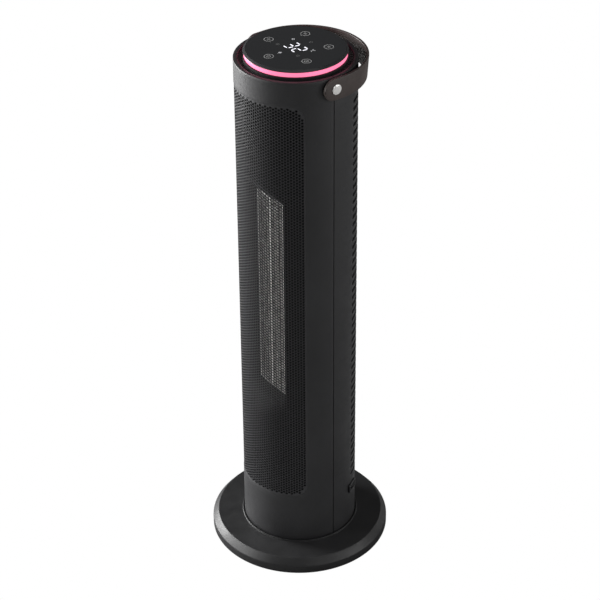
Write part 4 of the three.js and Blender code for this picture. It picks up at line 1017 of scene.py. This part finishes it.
def strap_path():
    """The band's middle line from above, and the way it faces: along the right side, round the back in a
    half circle, (cos a, sin a) times its radius, and along the left side."""
    rounding = np.linspace(0.03, math.pi / 2, 14)
    side_y = np.concatenate([end_middle - strap_half * np.cos(rounding),
                             np.linspace(end_middle, STRAP_BACK, 5)[1:]])
    a = np.linspace(0, math.pi, 81)[1:-1]
    bend = np.stack([np.cos(a), np.sin(a)], -1)
    right = np.stack([np.full(len(side_y), strap_radius), side_y], -1)
    left = right[::-1] * [-1, 1]
    facing = [np.tile([1, 0], (len(side_y), 1)), bend, np.tile([-1, 0], (len(side_y), 1))]
    return np.vstack([right, bend * strap_radius + [0, STRAP_BACK], left]), np.vstack(facing)


def strap_ring(place, facing):
    """The band's outline at one place of its path: as tall as the half round end allows, and leaning out
    by a share of its height that grows towards the back."""
    before_end = min(0, place[1] - end_middle)
    half = math.sqrt(max(strap_half ** 2 - before_end ** 2, 0))
    outline = round_corners(rectangle(-STRAP_THICK / 2, STRAP_THICK / 2, -half, half),
                            min(STRAP_EDGE, half * 0.8), 5)
    lean = STRAP_LEAN * max(0, (place[1] - STRAP_BACK) / strap_radius)
    out = outline[:, 0] + outline[:, 1] * lean
    return np.column_stack([place + facing * out[:, None], outline[:, 1] + strap_middle])


rows = np.array([strap_ring(place, facing) for place, facing in zip(*strap_path())])
add_piece("leather_strap", rows, tube_faces(*rows.shape[:2]), "handle", "strap_leather", strap_leather(), 50,
          replaces=["handle_strap"])


# Rivets: nickel-plated steel, with a low domed head. Each holds one end of the strap to the bush in the
# tower's wall and turns in the bush with the strap.
def polished_nickel():
    """Bright plating with faint cloudy wear."""
    finish = Finish("polished_nickel", (0.96, 0.95, 0.93), 0.2, 0.25)
    finish.roughness(finish.patches(200, 2.0, 0.14, 0.2))
    return finish.made


SHANK_RADIUS, HEAD_EDGE, HEAD_SEAT, DOME_DROP, DOME_FLATNESS = 2.6, 0.3, 0.1, 0.6, 0.6
nickel = polished_nickel()
seat = strap_high[0] + HEAD_SEAT
for node, side in (("rivet_right", 1), ("rivet_left", -1)):
    low, high = span(node)
    head = (high[2] - low[2]) / 2
    foot, tip = sorted((abs(low[0]), abs(high[0])))
    rise = np.radians(np.linspace(8, 90, 8))
    dome_height = tip - DOME_DROP - (tip - seat - DOME_DROP) * (1 - np.sin(rise)) * DOME_FLATNESS
    dome = np.stack([head * np.cos(rise), dome_height], -1)
    outline = [(0, foot), (SHANK_RADIUS, foot), (SHANK_RADIUS, seat), (head - HEAD_EDGE, seat),
               (head, seat + HEAD_EDGE), *dome[:-1], (0, dome[-1, 1])]
    verts, faces = turned(outline, 64)
    verts = np.stack([verts[:, 2] * side, verts[:, 0], verts[:, 1] + (high[2] + low[2]) / 2], -1)
    add_piece("domed_" + node, verts, faces, "handle", "polished_rivet", nickel, replaces=[node])


# Floor: a pale sheet a hair's breadth below the feet. To the eye it is plain white, as the studio's
# backdrop is, and to the tower it gives back only a little light.
FLOOR_HALF, FLOOR_LEVEL = 5, -0.0004
floor_mesh = bpy.data.meshes.new("floor")
corners = [(x, y, FLOOR_LEVEL) for x, y in rectangle(-FLOOR_HALF, FLOOR_HALF, -FLOOR_HALF, FLOOR_HALF)]
floor_mesh.from_pydata(corners, [], [(0, 1, 2, 3)])
paper = Finish("pale_paper", (0.25, 0.25, 0.25), 0.9)
glow = paper.node("Emission")
blend = paper.node("MixShader")
paper.tree.links.new(paper.node("LightPath").outputs["Is Camera Ray"], blend.inputs[0])
paper.tree.links.new(paper.shader.outputs[0], blend.inputs[1])
paper.tree.links.new(glow.outputs[0], blend.inputs[2])
paper.tree.links.new(blend.outputs[0], paper.tree.nodes["Material Output"].inputs["Surface"])
floor_mesh.materials.append(paper.made)
floor = bpy.data.objects.new("floor", floor_mesh)
scene.collection.objects.link(floor)
